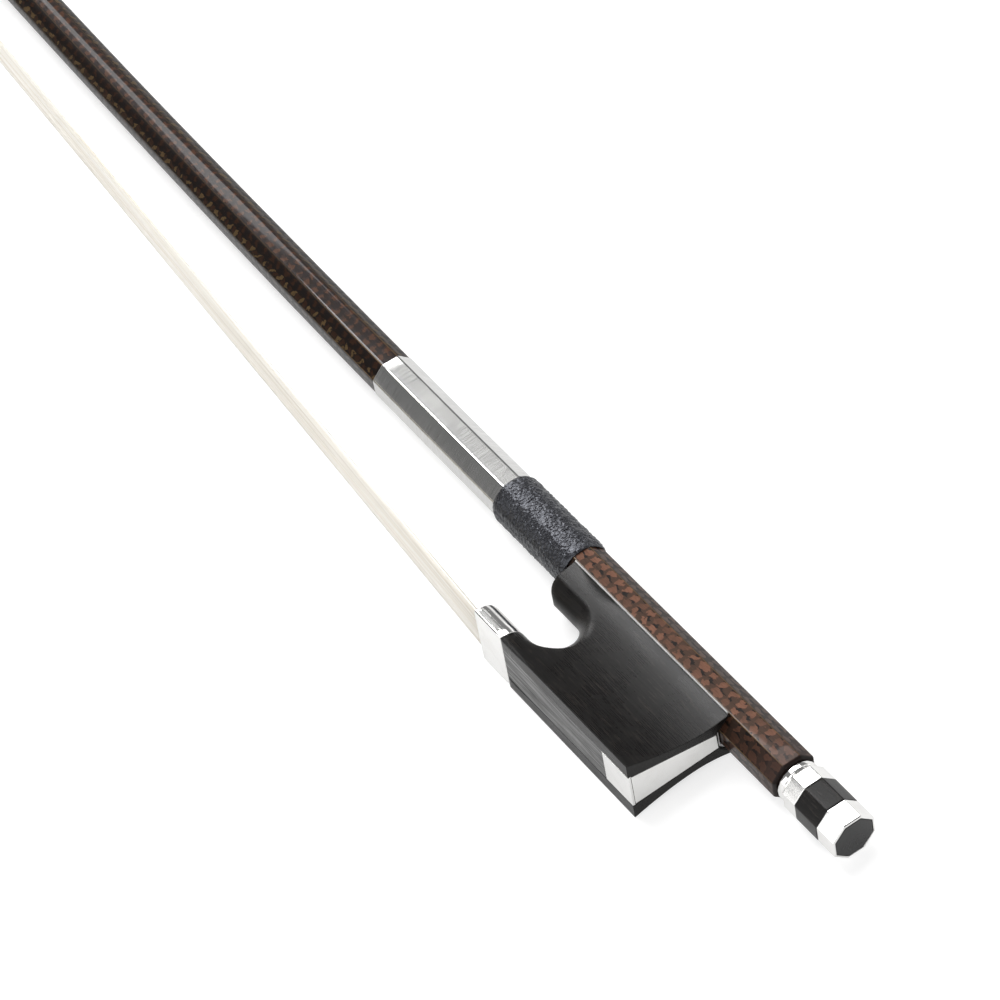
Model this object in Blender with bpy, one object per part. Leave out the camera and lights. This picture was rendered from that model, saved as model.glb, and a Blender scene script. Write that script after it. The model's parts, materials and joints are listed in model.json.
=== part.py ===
"""A violin bow that lies on its side, as on a table.

The bow's own frame has its origin on the stick's axis at the butt: +X runs along the handle towards
the button, +Y from the hair towards the stick's back, and +Z up through the frog's upper cheek. Three
empties carry the three bodies: the stick, the screw with its button, and the frog on its slide. All of
them hang from the empty bow_frame, which lays the bow down until the grip, the frog's lower edge and
the tip plate rest on Z = 0.
"""

from math import asin, cos, pi, radians, sin, sqrt, tan

import bmesh
import bpy
from mathutils import Vector

# Stick, in metres
BUTT_FLATS = 0.0086
TIP_DIAMETER = 0.0054
TAPER_POWER = 1.35
SHAFT_LENGTH = 0.701
HANDLE_LENGTH = 0.090
CAMBER_RADIUS = 4.76
OCTAGON_LENGTH = 0.150
ROUND_LENGTH = 0.225
BUTT_ROUND = 0.0007
SHAFT_WALL = 0.0015
HOLLOW_START = 0.096
HOLLOW_END = 0.690
SHAFT_RING_SPACING = 0.0325

# Head, measured along the hair (reach) and square to it (drop, rise)
HEAD_DROP = 0.0208
HEAD_REACH = 0.0080
PLATE_LENGTH = 0.0255
PLATE_HALF_WIDTH = 0.0053
PLATE_THICKNESS = 0.0010
PLATE_LINING_THICKNESS = 0.0005
PLATE_ABOVE_HAIR = 0.0003
NOSE_SQUARENESS = 1.3
HEEL_SQUARENESS = 0.45
HEAD_WAIST_POWER = 1.6
RIDGE_START_HANDLE = 0.016
RIDGE_END_HANDLE = 0.009
RIDGE_END_LEAN = 0.0025
THROAT_START_HANDLE = 0.0065
THROAT_END_HANDLE = 0.009
HEAD_MORTISE_START = 0.003
HEAD_MORTISE_LENGTH = 0.0085
HEAD_MORTISE_DEPTH = 0.0052
HEAD_MORTISE_HALF_WIDTH = 0.0039
HEAD_KNOT_RADIUS = 0.0010
HEAD_PLUG_LENGTH = 0.0042

# Grip
SLEEVE_FRONT = 0.1199
SLEEVE_REAR = 0.0665
SLEEVE_WALL = 0.00025
SLEEVE_PROUD = 0.00006
LEATHER_FRONT = 0.0815
LEATHER_REAR = 0.0602
LEATHER_WALL = 0.00062
LEATHER_ROUNDNESS = 0.5
LEATHER_EDGE = 0.0011
LEATHER_END_HEIGHT = 0.25

# Screw and button
NIPPLE_RADIUS = 0.0026
NIPPLE_LENGTH = 0.0018
COLLAR_RADIUS = 0.0040
COLLAR_LENGTH = 0.0020
COLLAR_EDGE = 0.0003
COLLAR_EDGE_DEPTH = 0.0002
COLLAR_GROOVE_LENGTH = 0.0005
COLLAR_GROOVE_DEPTH = 0.0004
BUTTON_GAP = 0.0003
BUTTON_FLATS = 0.00848
FRONT_BAND_END = 0.0055
CORE_BAND_END = 0.0115
BUTTON_END = 0.0160
END_BEVEL = 0.0003
RING_WALL = 0.0012
WEB_THICKNESS = 0.0010
EYE_THICKNESS = 0.0009
EYE_RIM = 0.00025
TANG_SIDE = 0.0023
SCREW_RADIUS = 0.0013
THREAD_RADIUS = 0.00145
THREAD_START = 0.022
THREAD_END = 0.050
JOURNAL_RADIUS = 0.00115
JOURNAL_START = 0.063
SCREW_END = 0.086
BORE_CLEARANCE = 0.0003

# Frog
FROG_FRONT = 0.0588
FROG_HEEL = 0.0155
HEEL_LEAN = 0.0011
FROG_DEPTH = 0.0225
CHEEK_HEEL_HALF_WIDTH = 0.00685
CHEEK_FRONT_HALF_WIDTH = 0.0066
CHEEK_WAIST_HALF_WIDTH = 0.0040
CHEEK_TOP_HALF_WIDTH = 0.00485
CHEEK_WAIST_DEPTH = 0.0085
CHEEK_TOP_DEPTH = 0.0024
CHEEK_POWER = 1.7
THROAT_CENTRE = 0.0510
THROAT_REAR = 0.04675
THROAT_TOP_DEPTH = 0.0086
THROAT_FLARE = 0.0029
THROAT_FLARE_HALF_WIDTH = 0.0044
THROAT_FLARE_POWER = 2.2
TONGUE_NOSE_RADIUS = 0.0016
LINING_FRONT = 0.05895
LINING_REAR = 0.0144
LINING_THICKNESS = 0.0004
LINING_TOP_DEPTH = 0.0021
RUNNING_GAP = 0.0002
LINING_SCREW_RADIUS = 0.0007
LINING_SCREW_HEAD_RADIUS = 0.0011
LINING_SCREW_LENGTH = 0.0030
LINING_SCREW_PLACES = (0.0535, 0.0200)

# Ferrule, slide and heel plates
FERRULE_FRONT = 0.0600
FERRULE_REAR = 0.0521
FERRULE_HALF_WIDTH = 0.0065
FERRULE_SHOULDER_HALF_WIDTH = 0.0063
FERRULE_SHOULDER_DEPTH = 0.0210
FERRULE_ARCH_DEPTH = 0.01725
FERRULE_WALL = 0.00045
TENON_DEPTH = 0.0190
TENON_SETBACK = 0.0005
SLIDE_FRONT_HALF_WIDTH = 0.0039
SLIDE_HEEL_HALF_WIDTH = 0.00365
SLIDE_SLOT_DEPTH = 0.0021
DOVETAIL_SPREAD = 0.0005
INLAY_THICKNESS = 0.0005
HEEL_PLATE_FRONT = 0.02305
HEEL_PLATE_THICKNESS = 0.0005
BACK_PLATE_TOP_DEPTH = 0.0051
BACK_PLATE_TOP_HALF_WIDTH = 0.0018

# Eyelet and its mortise in the stick
EYELET_PLACE = 0.0370
EYELET_LENGTH = 0.0050
EYELET_WIDTH = 0.0040
EYELET_TOP = 0.0022
EYELET_NECK_DEPTH = 0.0030
EYELET_SHANK_RADIUS = 0.0015
EYELET_SHANK_END = 0.0110
MORTISE_GAP = 0.0004
FROG_BACK_TRAVEL = 0.0060
FROG_FORWARD_TRAVEL = 0.0010

# Hair and what holds it
HAIR_FERRULE_HALF_WIDTH = 0.0052
HAIR_HEAD_HALF_WIDTH = 0.0036
HAIR_FREE_HALF_WIDTH = 0.0044
HAIR_FREE_THICKNESS = 0.0005
HAIR_GATHER_LENGTH = 0.130
HAIR_SPREAD_LENGTH = 0.020
HAIR_FROG_HALF_WIDTH = 0.0029
HAIR_THICKNESS = 0.0009
HAIR_MOUTH_DEPTH = 0.0215
HAIR_CHANNEL_DEPTH = 0.0199
WEDGE_LENGTH = 0.0040
WEDGE_THICKNESS = 0.0015
FROG_MORTISE_FRONT = 0.0430
FROG_MORTISE_REAR = 0.0330
FROG_MORTISE_HALF_WIDTH = 0.0033
FROG_MORTISE_DEPTH = 0.0140
FROG_KNOT_RADIUS = 0.0012
PLUG_LENGTH = 0.0048

# Gaps between pieces, how far a cutter runs past what it cuts, and how far joined parts overlap
SEAM = 0.0001
FIT = 0.0002
CUT_MARGIN = 0.002
JOIN_OVERLAP = 0.0003

RING_SIDES = 24
HALF_FACET = pi / 8


def clear_scene():
    for obj in list(bpy.data.objects):
        bpy.data.objects.remove(obj, do_unlink=True)


def empty(name, parent=None):
    obj = bpy.data.objects.new(name, None)
    obj.empty_display_size = 0.01
    obj.parent = parent
    bpy.context.scene.collection.objects.link(obj)
    return obj


def material(name, colour, roughness, metallic):
    made = bpy.data.materials.new(name)
    made.use_nodes = True
    made.diffuse_color = (*colour, 1.0)
    shader = made.node_tree.nodes["Principled BSDF"]
    shader.inputs["Base Color"].default_value = (*colour, 1.0)
    shader.inputs["Roughness"].default_value = roughness
    shader.inputs["Metallic"].default_value = metallic
    return made


def blend(a, b, share):
    return a + (b - a) * share


# Meshes


def finish(mesh_builder, name, parent, look):
    """Turns a bmesh into a named object, faces outward, flat facets kept sharp."""
    bmesh.ops.remove_doubles(mesh_builder, verts=mesh_builder.verts, dist=1e-7)
    bmesh.ops.recalc_face_normals(mesh_builder, faces=mesh_builder.faces)
    mesh = bpy.data.meshes.new(name)
    mesh_builder.to_mesh(mesh)
    mesh_builder.free()
    mesh.shade_smooth()
    mesh.set_sharp_from_angle(angle=radians(25))
    obj = bpy.data.objects.new(name, mesh)
    obj.parent = parent
    bpy.context.scene.collection.objects.link(obj)
    if look is None:
        obj.hide_render = True
        obj.display_type = "WIRE"
    else:
        mesh.materials.append(look)
    return obj


def add_rings(builder, rings):
    return [[builder.verts.new(point) for point in ring] for ring in rings]


def bridge(builder, first, second):
    for i in range(len(first)):
        j = (i + 1) % len(first)
        builder.faces.new((first[i], first[j], second[j], second[i]))


def loft(name, rings, parent, look=None):
    """One closed body through rings of points, both ends capped."""
    builder = bmesh.new()
    verts = add_rings(builder, rings)
    for first, second in zip(verts, verts[1:]):
        bridge(builder, first, second)
    builder.faces.new(verts[0])
    builder.faces.new(verts[-1])
    return finish(builder, name, parent, look)


def shell(name, outer, inner, parent, look, blind=False):
    """A tube between outer and inner rings. A blind tube's far ends are capped one by one."""
    builder = bmesh.new()
    outside = add_rings(builder, outer)
    inside = add_rings(builder, inner)
    for run in (outside, inside):
        for first, second in zip(run, run[1:]):
            bridge(builder, first, second)
    bridge(builder, outside[0], inside[0])
    if blind:
        builder.faces.new(outside[-1])
        builder.faces.new(inside[-1])
    else:
        bridge(builder, outside[-1], inside[-1])
    return finish(builder, name, parent, look)


def boolean(obj, tool, operation):
    step = obj.modifiers.new(f"{operation.lower()}_{tool.name}", "BOOLEAN")
    step.operation = operation
    step.solver = "EXACT"
    step.object = tool


def cut(obj, tool):
    boolean(obj, tool, "DIFFERENCE")


def join(obj, tool):
    boolean(obj, tool, "UNION")


# Sections


def polygon_radius(angle, flats, sides=8):
    """Distance from the centre to a regular polygon whose first facet faces angle 0."""
    step = 2 * pi / sides
    from_facet = (angle + step / 2) % step - step / 2
    return flats / 2 / cos(from_facet)


def ring_angles():
    return [HALF_FACET + 2 * pi / RING_SIDES * i for i in range(RING_SIDES)]


def section(centre, up, flats, roundness=0.0, sides=8):
    """A ring square to the XY plane's curve: up is the ring's own +Y, and +Z is its side."""
    points = []
    for angle in ring_angles():
        radius = blend(polygon_radius(angle, flats, sides), flats / 2, roundness)
        points.append(centre + up * (radius * cos(angle)) + Vector((0, 0, radius * sin(angle))))
    return points


def handle_section(x, flats, roundness=0.0, sides=8):
    return section(Vector((x, 0, 0)), Vector((0, 1, 0)), flats, roundness, sides)


def block(name, low, high, parent, look=None):
    """A box between two corners."""
    rings = [
        [Vector((x, low[1], low[2])), Vector((x, high[1], low[2])),
         Vector((x, high[1], high[2])), Vector((x, low[1], high[2]))]
        for x in (low[0], high[0])
    ]
    return loft(name, rings, parent, look)


def rod(name, start, end, radius, parent, look=None, sides=16):
    """A round bar from start to end."""
    along = (end - start).normalized()
    across = along.cross(Vector((0, 0, 1)))
    if across.length < 0.5:
        across = along.cross(Vector((1, 0, 0)))
    across.normalize()
    other = along.cross(across)
    rings = []
    for centre in (start, end):
        rings.append(
            [centre + (across * cos(2 * pi * i / sides) + other * sin(2 * pi * i / sides)) * radius
             for i in range(sides)]
        )
    return loft(name, rings, parent, look)


# The stick's axis


def axis_place(distance):
    """Centre, direction to the head and direction away from the hair, at a distance from the butt."""
    turn = max(distance - HANDLE_LENGTH, 0.0) / CAMBER_RADIUS
    straight = min(distance, HANDLE_LENGTH)
    centre = Vector((-straight - CAMBER_RADIUS * sin(turn), CAMBER_RADIUS * (1 - cos(turn)), 0))
    towards_head = Vector((-cos(turn), sin(turn), 0))
    away = Vector((sin(turn), cos(turn), 0))
    return centre, towards_head, away


def stick_flats(distance):
    share = min(max(distance / SHAFT_LENGTH, 0.0), 1.0)
    return BUTT_FLATS - (BUTT_FLATS - TIP_DIAMETER) * share**TAPER_POWER


def stick_roundness(distance):
    share = (distance - OCTAGON_LENGTH) / (ROUND_LENGTH - OCTAGON_LENGTH)
    share = min(max(share, 0.0), 1.0)
    return share * share * (3 - 2 * share)


def stick_section(distance, inset=0.0):
    centre, _, away = axis_place(distance)
    return section(centre, away, stick_flats(distance) - 2 * inset, stick_roundness(distance))


# The head's frame: origin on the hair's centre under the plate's rear edge


class HeadFrame:
    def __init__(self):
        end, towards_head, away = axis_place(SHAFT_LENGTH)
        mouth = Vector((-FERRULE_FRONT, -HAIR_MOUTH_DEPTH, 0))
        self.origin = end - away * HEAD_DROP + towards_head * HEAD_REACH
        self.along = (self.origin - mouth).normalized()
        self.up = Vector((-self.along.y, self.along.x, 0)) * (-1 if self.along.x < 0 else 1)

    def point(self, reach, rise, side=0.0):
        return self.origin + self.along * reach + self.up * rise + Vector((0, 0, side))


HEAD = HeadFrame()
PLATE_BOTTOM = HAIR_THICKNESS / 2 + PLATE_ABOVE_HAIR
PLATE_TOP = PLATE_BOTTOM + PLATE_THICKNESS
PLATE_LINING_BOTTOM = PLATE_TOP + SEAM
PLATE_LINING_TOP = PLATE_LINING_BOTTOM + PLATE_LINING_THICKNESS
HEAD_FACE = PLATE_LINING_TOP + SEAM


def bezier(points, share):
    a, b, c, d = points
    rest = 1 - share
    return a * rest**3 + b * (3 * rest**2 * share) + c * (3 * rest * share**2) + d * share**3


def head_section(share):
    """The head between its back edge and its front ridge, from the shaft (0) to the plate (1)."""
    end, towards_head, away = axis_place(SHAFT_LENGTH)
    radius = TIP_DIAMETER / 2
    ridge = (
        end + away * radius,
        end + away * radius + towards_head * RIDGE_START_HANDLE,
        HEAD.point(PLATE_LENGTH - RIDGE_END_LEAN, HEAD_FACE + RIDGE_END_HANDLE),
        HEAD.point(PLATE_LENGTH, HEAD_FACE),
    )
    throat = (
        end - away * radius,
        end - away * radius + towards_head * THROAT_START_HANDLE,
        HEAD.point(0, HEAD_FACE + THROAT_END_HANDLE),
        HEAD.point(0, HEAD_FACE),
    )
    front = bezier(ridge, share)
    back = bezier(throat, share)
    centre = (front + back) / 2
    half = (front - back) / 2
    width = blend(radius, PLATE_HALF_WIDTH, share**HEAD_WAIST_POWER)
    nose = blend(1.0, NOSE_SQUARENESS, share)
    heel = blend(1.0, HEEL_SQUARENESS, share)
    points = []
    for angle in ring_angles():
        forward = cos(angle)
        power = nose
        if forward < 0:
            forward = -(abs(forward) ** heel)
            power = heel
        sideways = abs(sin(angle)) ** power * (1 if sin(angle) > 0 else -1)
        points.append(centre + half * forward + Vector((0, 0, width * sideways)))
    return points


def shaft_stations():
    """Distances from the butt's rounded edge on at which the shaft has a ring."""
    stations = [SLEEVE_REAR, HANDLE_LENGTH, SLEEVE_FRONT, OCTAGON_LENGTH]
    count = int((SHAFT_LENGTH - ROUND_LENGTH) / SHAFT_RING_SPACING)
    blend_steps = 4
    for i in range(1, blend_steps + 1):
        stations.append(blend(OCTAGON_LENGTH, ROUND_LENGTH, i / blend_steps))
    for i in range(1, count + 1):
        stations.append(blend(ROUND_LENGTH, SHAFT_LENGTH, i / count))
    return stations


def sleeve_recess():
    return SLEEVE_WALL + FIT - SLEEVE_PROUD


def make_stick(parent, look):
    outer = [
        handle_section(NIPPLE_LENGTH, 2 * NIPPLE_RADIUS, 1.0),
        handle_section(0.0, 2 * NIPPLE_RADIUS, 1.0),
    ]
    butt_steps = 3
    for i in range(butt_steps + 1):
        turn = pi / 2 * i / butt_steps
        outer.append(stick_section(BUTT_ROUND * (1 - cos(turn)), BUTT_ROUND * (1 - sin(turn))))
    for distance in shaft_stations():
        if distance == SLEEVE_FRONT:
            outer.append(stick_section(SLEEVE_FRONT + SEAM, sleeve_recess()))
            outer.append(stick_section(SLEEVE_FRONT + SEAM))
        elif distance == SLEEVE_REAR:
            outer.append(stick_section(SLEEVE_REAR - SEAM))
            outer.append(stick_section(SLEEVE_REAR - SEAM, sleeve_recess()))
        elif distance == HANDLE_LENGTH:
            outer.append(stick_section(HANDLE_LENGTH, sleeve_recess()))
        else:
            outer.append(stick_section(distance))
    head_steps = 11
    for i in range(1, head_steps + 1):
        outer.append(head_section(i / head_steps))
    screw_bore = 2 * (THREAD_RADIUS + BORE_CLEARANCE)
    journal_bore = 2 * (JOURNAL_RADIUS + BORE_CLEARANCE)
    step_down = -(THREAD_END + JOURNAL_START) / 2
    inner = [
        handle_section(NIPPLE_LENGTH, screw_bore, 1.0),
        handle_section(step_down, screw_bore, 1.0),
        handle_section(step_down - SEAM, journal_bore, 1.0),
    ]
    end, _, away = axis_place(HOLLOW_START)
    inner.append(section(end, away, journal_bore, 1.0))
    hollow_steps = 14
    for i in range(hollow_steps + 1):
        distance = blend(HOLLOW_START, HOLLOW_END, i / hollow_steps)
        centre, _, away = axis_place(distance)
        wall = SHAFT_WALL + (sleeve_recess() if distance < SLEEVE_FRONT else 0.0)
        inner.append(section(centre, away, stick_flats(distance) - 2 * wall, 1.0))
    stick = shell("stick", outer, inner, parent, look, blind=True)
    room = EYELET_LENGTH / 2 + MORTISE_GAP
    slot = block(
        "eyelet_slot_cutter",
        (-EYELET_PLACE - room - FROG_FORWARD_TRAVEL, -BUTT_FLATS, -EYELET_WIDTH / 2 - FIT),
        (-EYELET_PLACE + room + FROG_BACK_TRAVEL, EYELET_TOP + MORTISE_GAP, EYELET_WIDTH / 2 + FIT),
        parent,
    )
    cut(stick, slot)
    cut(stick, HEAD_MORTISE)
    return stick


def head_box(name, reach, rise, half_width, parent, look=None):
    """A box in the head's frame."""
    rings = []
    for level in rise:
        rings.append(
            [HEAD.point(reach[0], level, -half_width),
             HEAD.point(reach[1], level, -half_width),
             HEAD.point(reach[1], level, half_width),
             HEAD.point(reach[0], level, half_width)]
        )
    return loft(name, rings, parent, look)


def make_head_mortise(parent):
    return head_box(
        "head_mortise_cutter",
        (HEAD_MORTISE_START, HEAD_MORTISE_START + HEAD_MORTISE_LENGTH),
        (PLATE_BOTTOM - CUT_MARGIN, HEAD_FACE + HEAD_MORTISE_DEPTH),
        HEAD_MORTISE_HALF_WIDTH,
        parent,
    )


def plate(name, low, high, parent, look):
    """The head's face outline between two levels."""
    outline = head_section(1.0)
    rings = [[point + HEAD.up * (level - HEAD_FACE) for point in outline] for level in (low, high)]
    made = loft(name, rings, parent, look)
    cut(made, HEAD_MORTISE)
    return made


def make_head_fittings(parent, looks):
    tip = plate("tip_plate", PLATE_BOTTOM, PLATE_TOP, parent, looks["ivory"])
    plate("tip_plate_lining", PLATE_LINING_BOTTOM, PLATE_LINING_TOP, parent, looks["fibre"])
    mortise_end = HEAD_MORTISE_START + HEAD_MORTISE_LENGTH
    mortise_top = HEAD_FACE + HEAD_MORTISE_DEPTH
    head_box(
        "head_plug",
        (mortise_end - FIT - HEAD_PLUG_LENGTH, mortise_end - FIT),
        (PLATE_BOTTOM, mortise_top - FIT),
        HEAD_MORTISE_HALF_WIDTH - FIT,
        parent,
        looks["maple"],
    )
    knot_reach = mortise_end - 2 * FIT - HEAD_PLUG_LENGTH - HEAD_KNOT_RADIUS
    knot_rise = mortise_top - FIT - HEAD_KNOT_RADIUS
    half = HEAD_MORTISE_HALF_WIDTH - 2 * FIT
    rod(
        "head_hair_knot",
        HEAD.point(knot_reach, knot_rise, -half),
        HEAD.point(knot_reach, knot_rise, half),
        HEAD_KNOT_RADIUS,
        parent,
        looks["thread"],
    )
    return tip


# Grip


def make_sleeve(parent, look):
    outer = []
    inner = []
    for distance in (SLEEVE_REAR, HANDLE_LENGTH, SLEEVE_FRONT):
        outer.append(stick_section(distance, -SLEEVE_PROUD))
        inner.append(stick_section(distance, SLEEVE_WALL - SLEEVE_PROUD))
    shell("metal_sleeve", outer, inner, parent, look)


def make_leather(parent, look):
    bore = SLEEVE_PROUD + FIT / 2
    outer = []
    inner = []
    edge_steps = 3
    edge = []
    for i in range(edge_steps + 1):
        turn = pi / 2 * i / edge_steps
        height = LEATHER_WALL * blend(LEATHER_END_HEIGHT, 1.0, sin(turn))
        edge.append((LEATHER_EDGE * (1 - cos(turn)), height))
    stations = [(LEATHER_REAR + inward, height) for inward, height in edge]
    stations += [(LEATHER_FRONT - inward, height) for inward, height in reversed(edge)]
    for distance, height in stations:
        centre, _, away = axis_place(distance)
        flats = stick_flats(distance) + 2 * (bore + height)
        outer.append(section(centre, away, flats, LEATHER_ROUNDNESS))
    for distance in (LEATHER_REAR, LEATHER_FRONT):
        centre, _, away = axis_place(distance)
        inner.append(section(centre, away, stick_flats(distance) + 2 * bore))
    return shell("leather_grip", outer, inner, parent, look)


# Screw and button


def make_button(parent, looks):
    recess = 2 * (NIPPLE_RADIUS + BORE_CLEARANCE)
    recess_end = NIPPLE_LENGTH + BORE_CLEARANCE
    web_end = recess_end + WEB_THICKNESS
    tang_hole = TANG_SIDE + 2 * FIT
    seat = BUTTON_FLATS - 2 * RING_WALL
    tenon = seat - 2 * FIT
    collar = 2 * COLLAR_RADIUS
    shell(
        "button_front_ring",
        [
            handle_section(BUTTON_GAP, collar - 2 * COLLAR_EDGE_DEPTH, 1.0),
            handle_section(BUTTON_GAP + COLLAR_EDGE, collar, 1.0),
            handle_section(COLLAR_LENGTH - COLLAR_GROOVE_LENGTH, collar, 1.0),
            handle_section(COLLAR_LENGTH - COLLAR_EDGE_DEPTH, collar - 2 * COLLAR_GROOVE_DEPTH, 1.0),
            handle_section(COLLAR_LENGTH, BUTTON_FLATS - 2 * COLLAR_EDGE),
            handle_section(COLLAR_LENGTH + COLLAR_EDGE, BUTTON_FLATS),
            handle_section(FRONT_BAND_END, BUTTON_FLATS),
        ],
        [
            handle_section(BUTTON_GAP, recess, 1.0),
            handle_section(recess_end, recess, 1.0),
            handle_section(recess_end, tang_hole, 0.0, 4),
            handle_section(web_end, tang_hole, 0.0, 4),
            handle_section(web_end, seat),
            handle_section(FRONT_BAND_END, seat),
        ],
        parent,
        looks["silver"],
    )
    eye_back = BUTTON_END - EYE_THICKNESS - SEAM
    core_end = eye_back - SEAM
    shell(
        "button_core",
        [
            handle_section(web_end + SEAM, tenon),
            handle_section(FRONT_BAND_END + SEAM, tenon),
            handle_section(FRONT_BAND_END + SEAM, BUTTON_FLATS),
            handle_section(CORE_BAND_END - SEAM, BUTTON_FLATS),
            handle_section(CORE_BAND_END - SEAM, tenon),
            handle_section(core_end, tenon),
        ],
        [
            handle_section(web_end + SEAM, tang_hole, 0.0, 4),
            handle_section(core_end, tang_hole, 0.0, 4),
        ],
        parent,
        looks["ebony"],
    )
    eye_flats = BUTTON_FLATS - 2 * END_BEVEL - 2 * EYE_RIM
    shell(
        "button_rear_ring",
        [
            handle_section(CORE_BAND_END, BUTTON_FLATS),
            handle_section(BUTTON_END - END_BEVEL, BUTTON_FLATS),
            handle_section(BUTTON_END, BUTTON_FLATS - 2 * END_BEVEL),
        ],
        [
            handle_section(CORE_BAND_END, seat),
            handle_section(eye_back, seat),
            handle_section(eye_back + SEAM, eye_flats + 2 * SEAM),
            handle_section(BUTTON_END, eye_flats + 2 * SEAM),
        ],
        parent,
        looks["silver"],
    )
    loft(
        "button_eye",
        [handle_section(BUTTON_END - EYE_THICKNESS, eye_flats), handle_section(BUTTON_END, eye_flats)],
        parent,
        looks["eye"],
    )
    tang_end = core_end - FIT
    loft(
        "adjuster_screw",
        [
            handle_section(tang_end, TANG_SIDE, 0.0, 4),
            handle_section(recess_end, TANG_SIDE, 0.0, 4),
            handle_section(recess_end - SEAM, 2 * SCREW_RADIUS, 1.0),
            handle_section(-THREAD_START, 2 * SCREW_RADIUS, 1.0),
            handle_section(-THREAD_START - SEAM, 2 * THREAD_RADIUS, 1.0),
            handle_section(-THREAD_END, 2 * THREAD_RADIUS, 1.0),
            handle_section(-THREAD_END - SEAM, 2 * SCREW_RADIUS, 1.0),
            handle_section(-JOURNAL_START, 2 * JOURNAL_RADIUS, 1.0),
            handle_section(-SCREW_END + JOURNAL_RADIUS, 2 * JOURNAL_RADIUS, 1.0),
            handle_section(-SCREW_END, JOURNAL_RADIUS, 1.0),
        ],
        parent,
        looks["steel"],
    )


# Frog


def cheek_half_width(depth, bottom_half_width):
    """Half the frog's width at a depth below the stick's axis: the cheeks are hollowed."""
    if depth > CHEEK_WAIST_DEPTH:
        share = (depth - CHEEK_WAIST_DEPTH) / (FROG_DEPTH - CHEEK_WAIST_DEPTH)
        return blend(CHEEK_WAIST_HALF_WIDTH, bottom_half_width, share**CHEEK_POWER)
    share = (CHEEK_WAIST_DEPTH - depth) / (CHEEK_WAIST_DEPTH - CHEEK_TOP_DEPTH)
    return blend(CHEEK_WAIST_HALF_WIDTH, CHEEK_TOP_HALF_WIDTH, share**2)


def bed_distance(gap):
    """From the stick's axis to a facet of the bed, gap outside the running fit."""
    return BUTT_FLATS / 2 + RUNNING_GAP + gap


def bed_outline(distance, top_depth):
    """The three lower facets of the octagon at a distance, from +Z to -Z, as (y, z)."""
    corner = distance * tan(HALF_FACET)
    edge = distance * sqrt(2) - top_depth
    return [(-top_depth, edge), (-distance, corner), (-distance, -corner), (-top_depth, -edge)]


def frog_outline(bottom_half_width):
    rows = 12
    cheek = []
    for i in range(rows + 1):
        depth = blend(FROG_DEPTH, CHEEK_TOP_DEPTH, i / rows)
        cheek.append((-depth, cheek_half_width(depth, bottom_half_width)))
    bed = bed_outline(bed_distance(LINING_THICKNESS + SEAM), CHEEK_TOP_DEPTH)
    return cheek + bed + [(y, -z) for y, z in reversed(cheek)]


def heel_x(y):
    """The heel leans: its top is nearer the button than its bottom."""
    return -FROG_HEEL + HEEL_LEAN * (y + FROG_DEPTH) / FROG_DEPTH


def ferrule_outline(inset, bottom=FROG_DEPTH):
    """A D on its flat side: flat bottom, leaning shoulders and an arch, as (y, z)."""
    steps = 12
    shoulder = FERRULE_SHOULDER_HALF_WIDTH - inset
    rise = FERRULE_SHOULDER_DEPTH - FERRULE_ARCH_DEPTH - inset
    below_shoulder = bottom > FERRULE_SHOULDER_DEPTH
    first_angle = 0.0 if below_shoulder else asin((FERRULE_SHOULDER_DEPTH - bottom) / rise)
    points = []
    for i in range(steps + 1):
        angle = blend(first_angle, pi - first_angle, i / steps)
        points.append((-FERRULE_SHOULDER_DEPTH + rise * sin(angle), shoulder * cos(angle)))
    if below_shoulder:
        foot = bottom - inset
        lean = (FERRULE_HALF_WIDTH - FERRULE_SHOULDER_HALF_WIDTH) / (FROG_DEPTH - FERRULE_SHOULDER_DEPTH)
        half = shoulder + lean * (foot - FERRULE_SHOULDER_DEPTH)
        points = [(-foot, half)] + points + [(-foot, -half)]
    return points


def arch_depth(side):
    """Depth of the ferrule's arch at a distance from the middle plane."""
    share = min(abs(side) / FERRULE_SHOULDER_HALF_WIDTH, 1.0)
    return FERRULE_SHOULDER_DEPTH - (FERRULE_SHOULDER_DEPTH - FERRULE_ARCH_DEPTH) * sqrt(1 - share**2)


def throat_section(side):
    """The thumb recess at a distance from the middle plane: a U that widens to the cheeks."""
    share = min(abs(side) / THROAT_FLARE_HALF_WIDTH, 1.0)
    flare = THROAT_FLARE * share**THROAT_FLARE_POWER
    top = -THROAT_TOP_DEPTH + flare
    bottom = -arch_depth(side)
    reach = THROAT_CENTRE - THROAT_REAR + flare
    middle = (top + bottom) / 2
    half = (top - bottom) / 2
    steps = 10
    front = -FERRULE_FRONT - 2 * CUT_MARGIN
    points = [Vector((front, top, side))]
    for i in range(steps + 1):
        angle = pi / 2 - pi * i / steps
        points.append(Vector((-THROAT_CENTRE + reach * cos(angle), middle + half * sin(angle), side)))
    points.append(Vector((front, bottom, side)))
    return points


def prism(name, outline, front, rear, parent, look=None, rear_outline=None):
    """An outline of (y, z) carried along X from front to rear, either of which may depend on y."""
    rings = []
    for end, points in ((front, outline), (rear, rear_outline or outline)):
        rings.append([Vector((end(y) if callable(end) else end, y, z)) for y, z in points])
    return loft(name, rings, parent, look)


def slide_half_width(x):
    share = (-x - FROG_HEEL) / (FERRULE_REAR - FROG_HEEL)
    return blend(SLIDE_HEEL_HALF_WIDTH, SLIDE_FRONT_HALF_WIDTH, share)


def slide_outline(x, low, high, inset):
    """A dovetail bar across the underside at x, between two depths, as (y, z)."""
    narrow = slide_half_width(x) - inset
    spread = DOVETAIL_SPREAD / SLIDE_SLOT_DEPTH
    wide_low = narrow + spread * (FROG_DEPTH - low)
    wide_high = narrow + spread * (FROG_DEPTH - high)
    return [(-low, wide_low), (-high, wide_high), (-high, -wide_high), (-low, -wide_low)]


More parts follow.
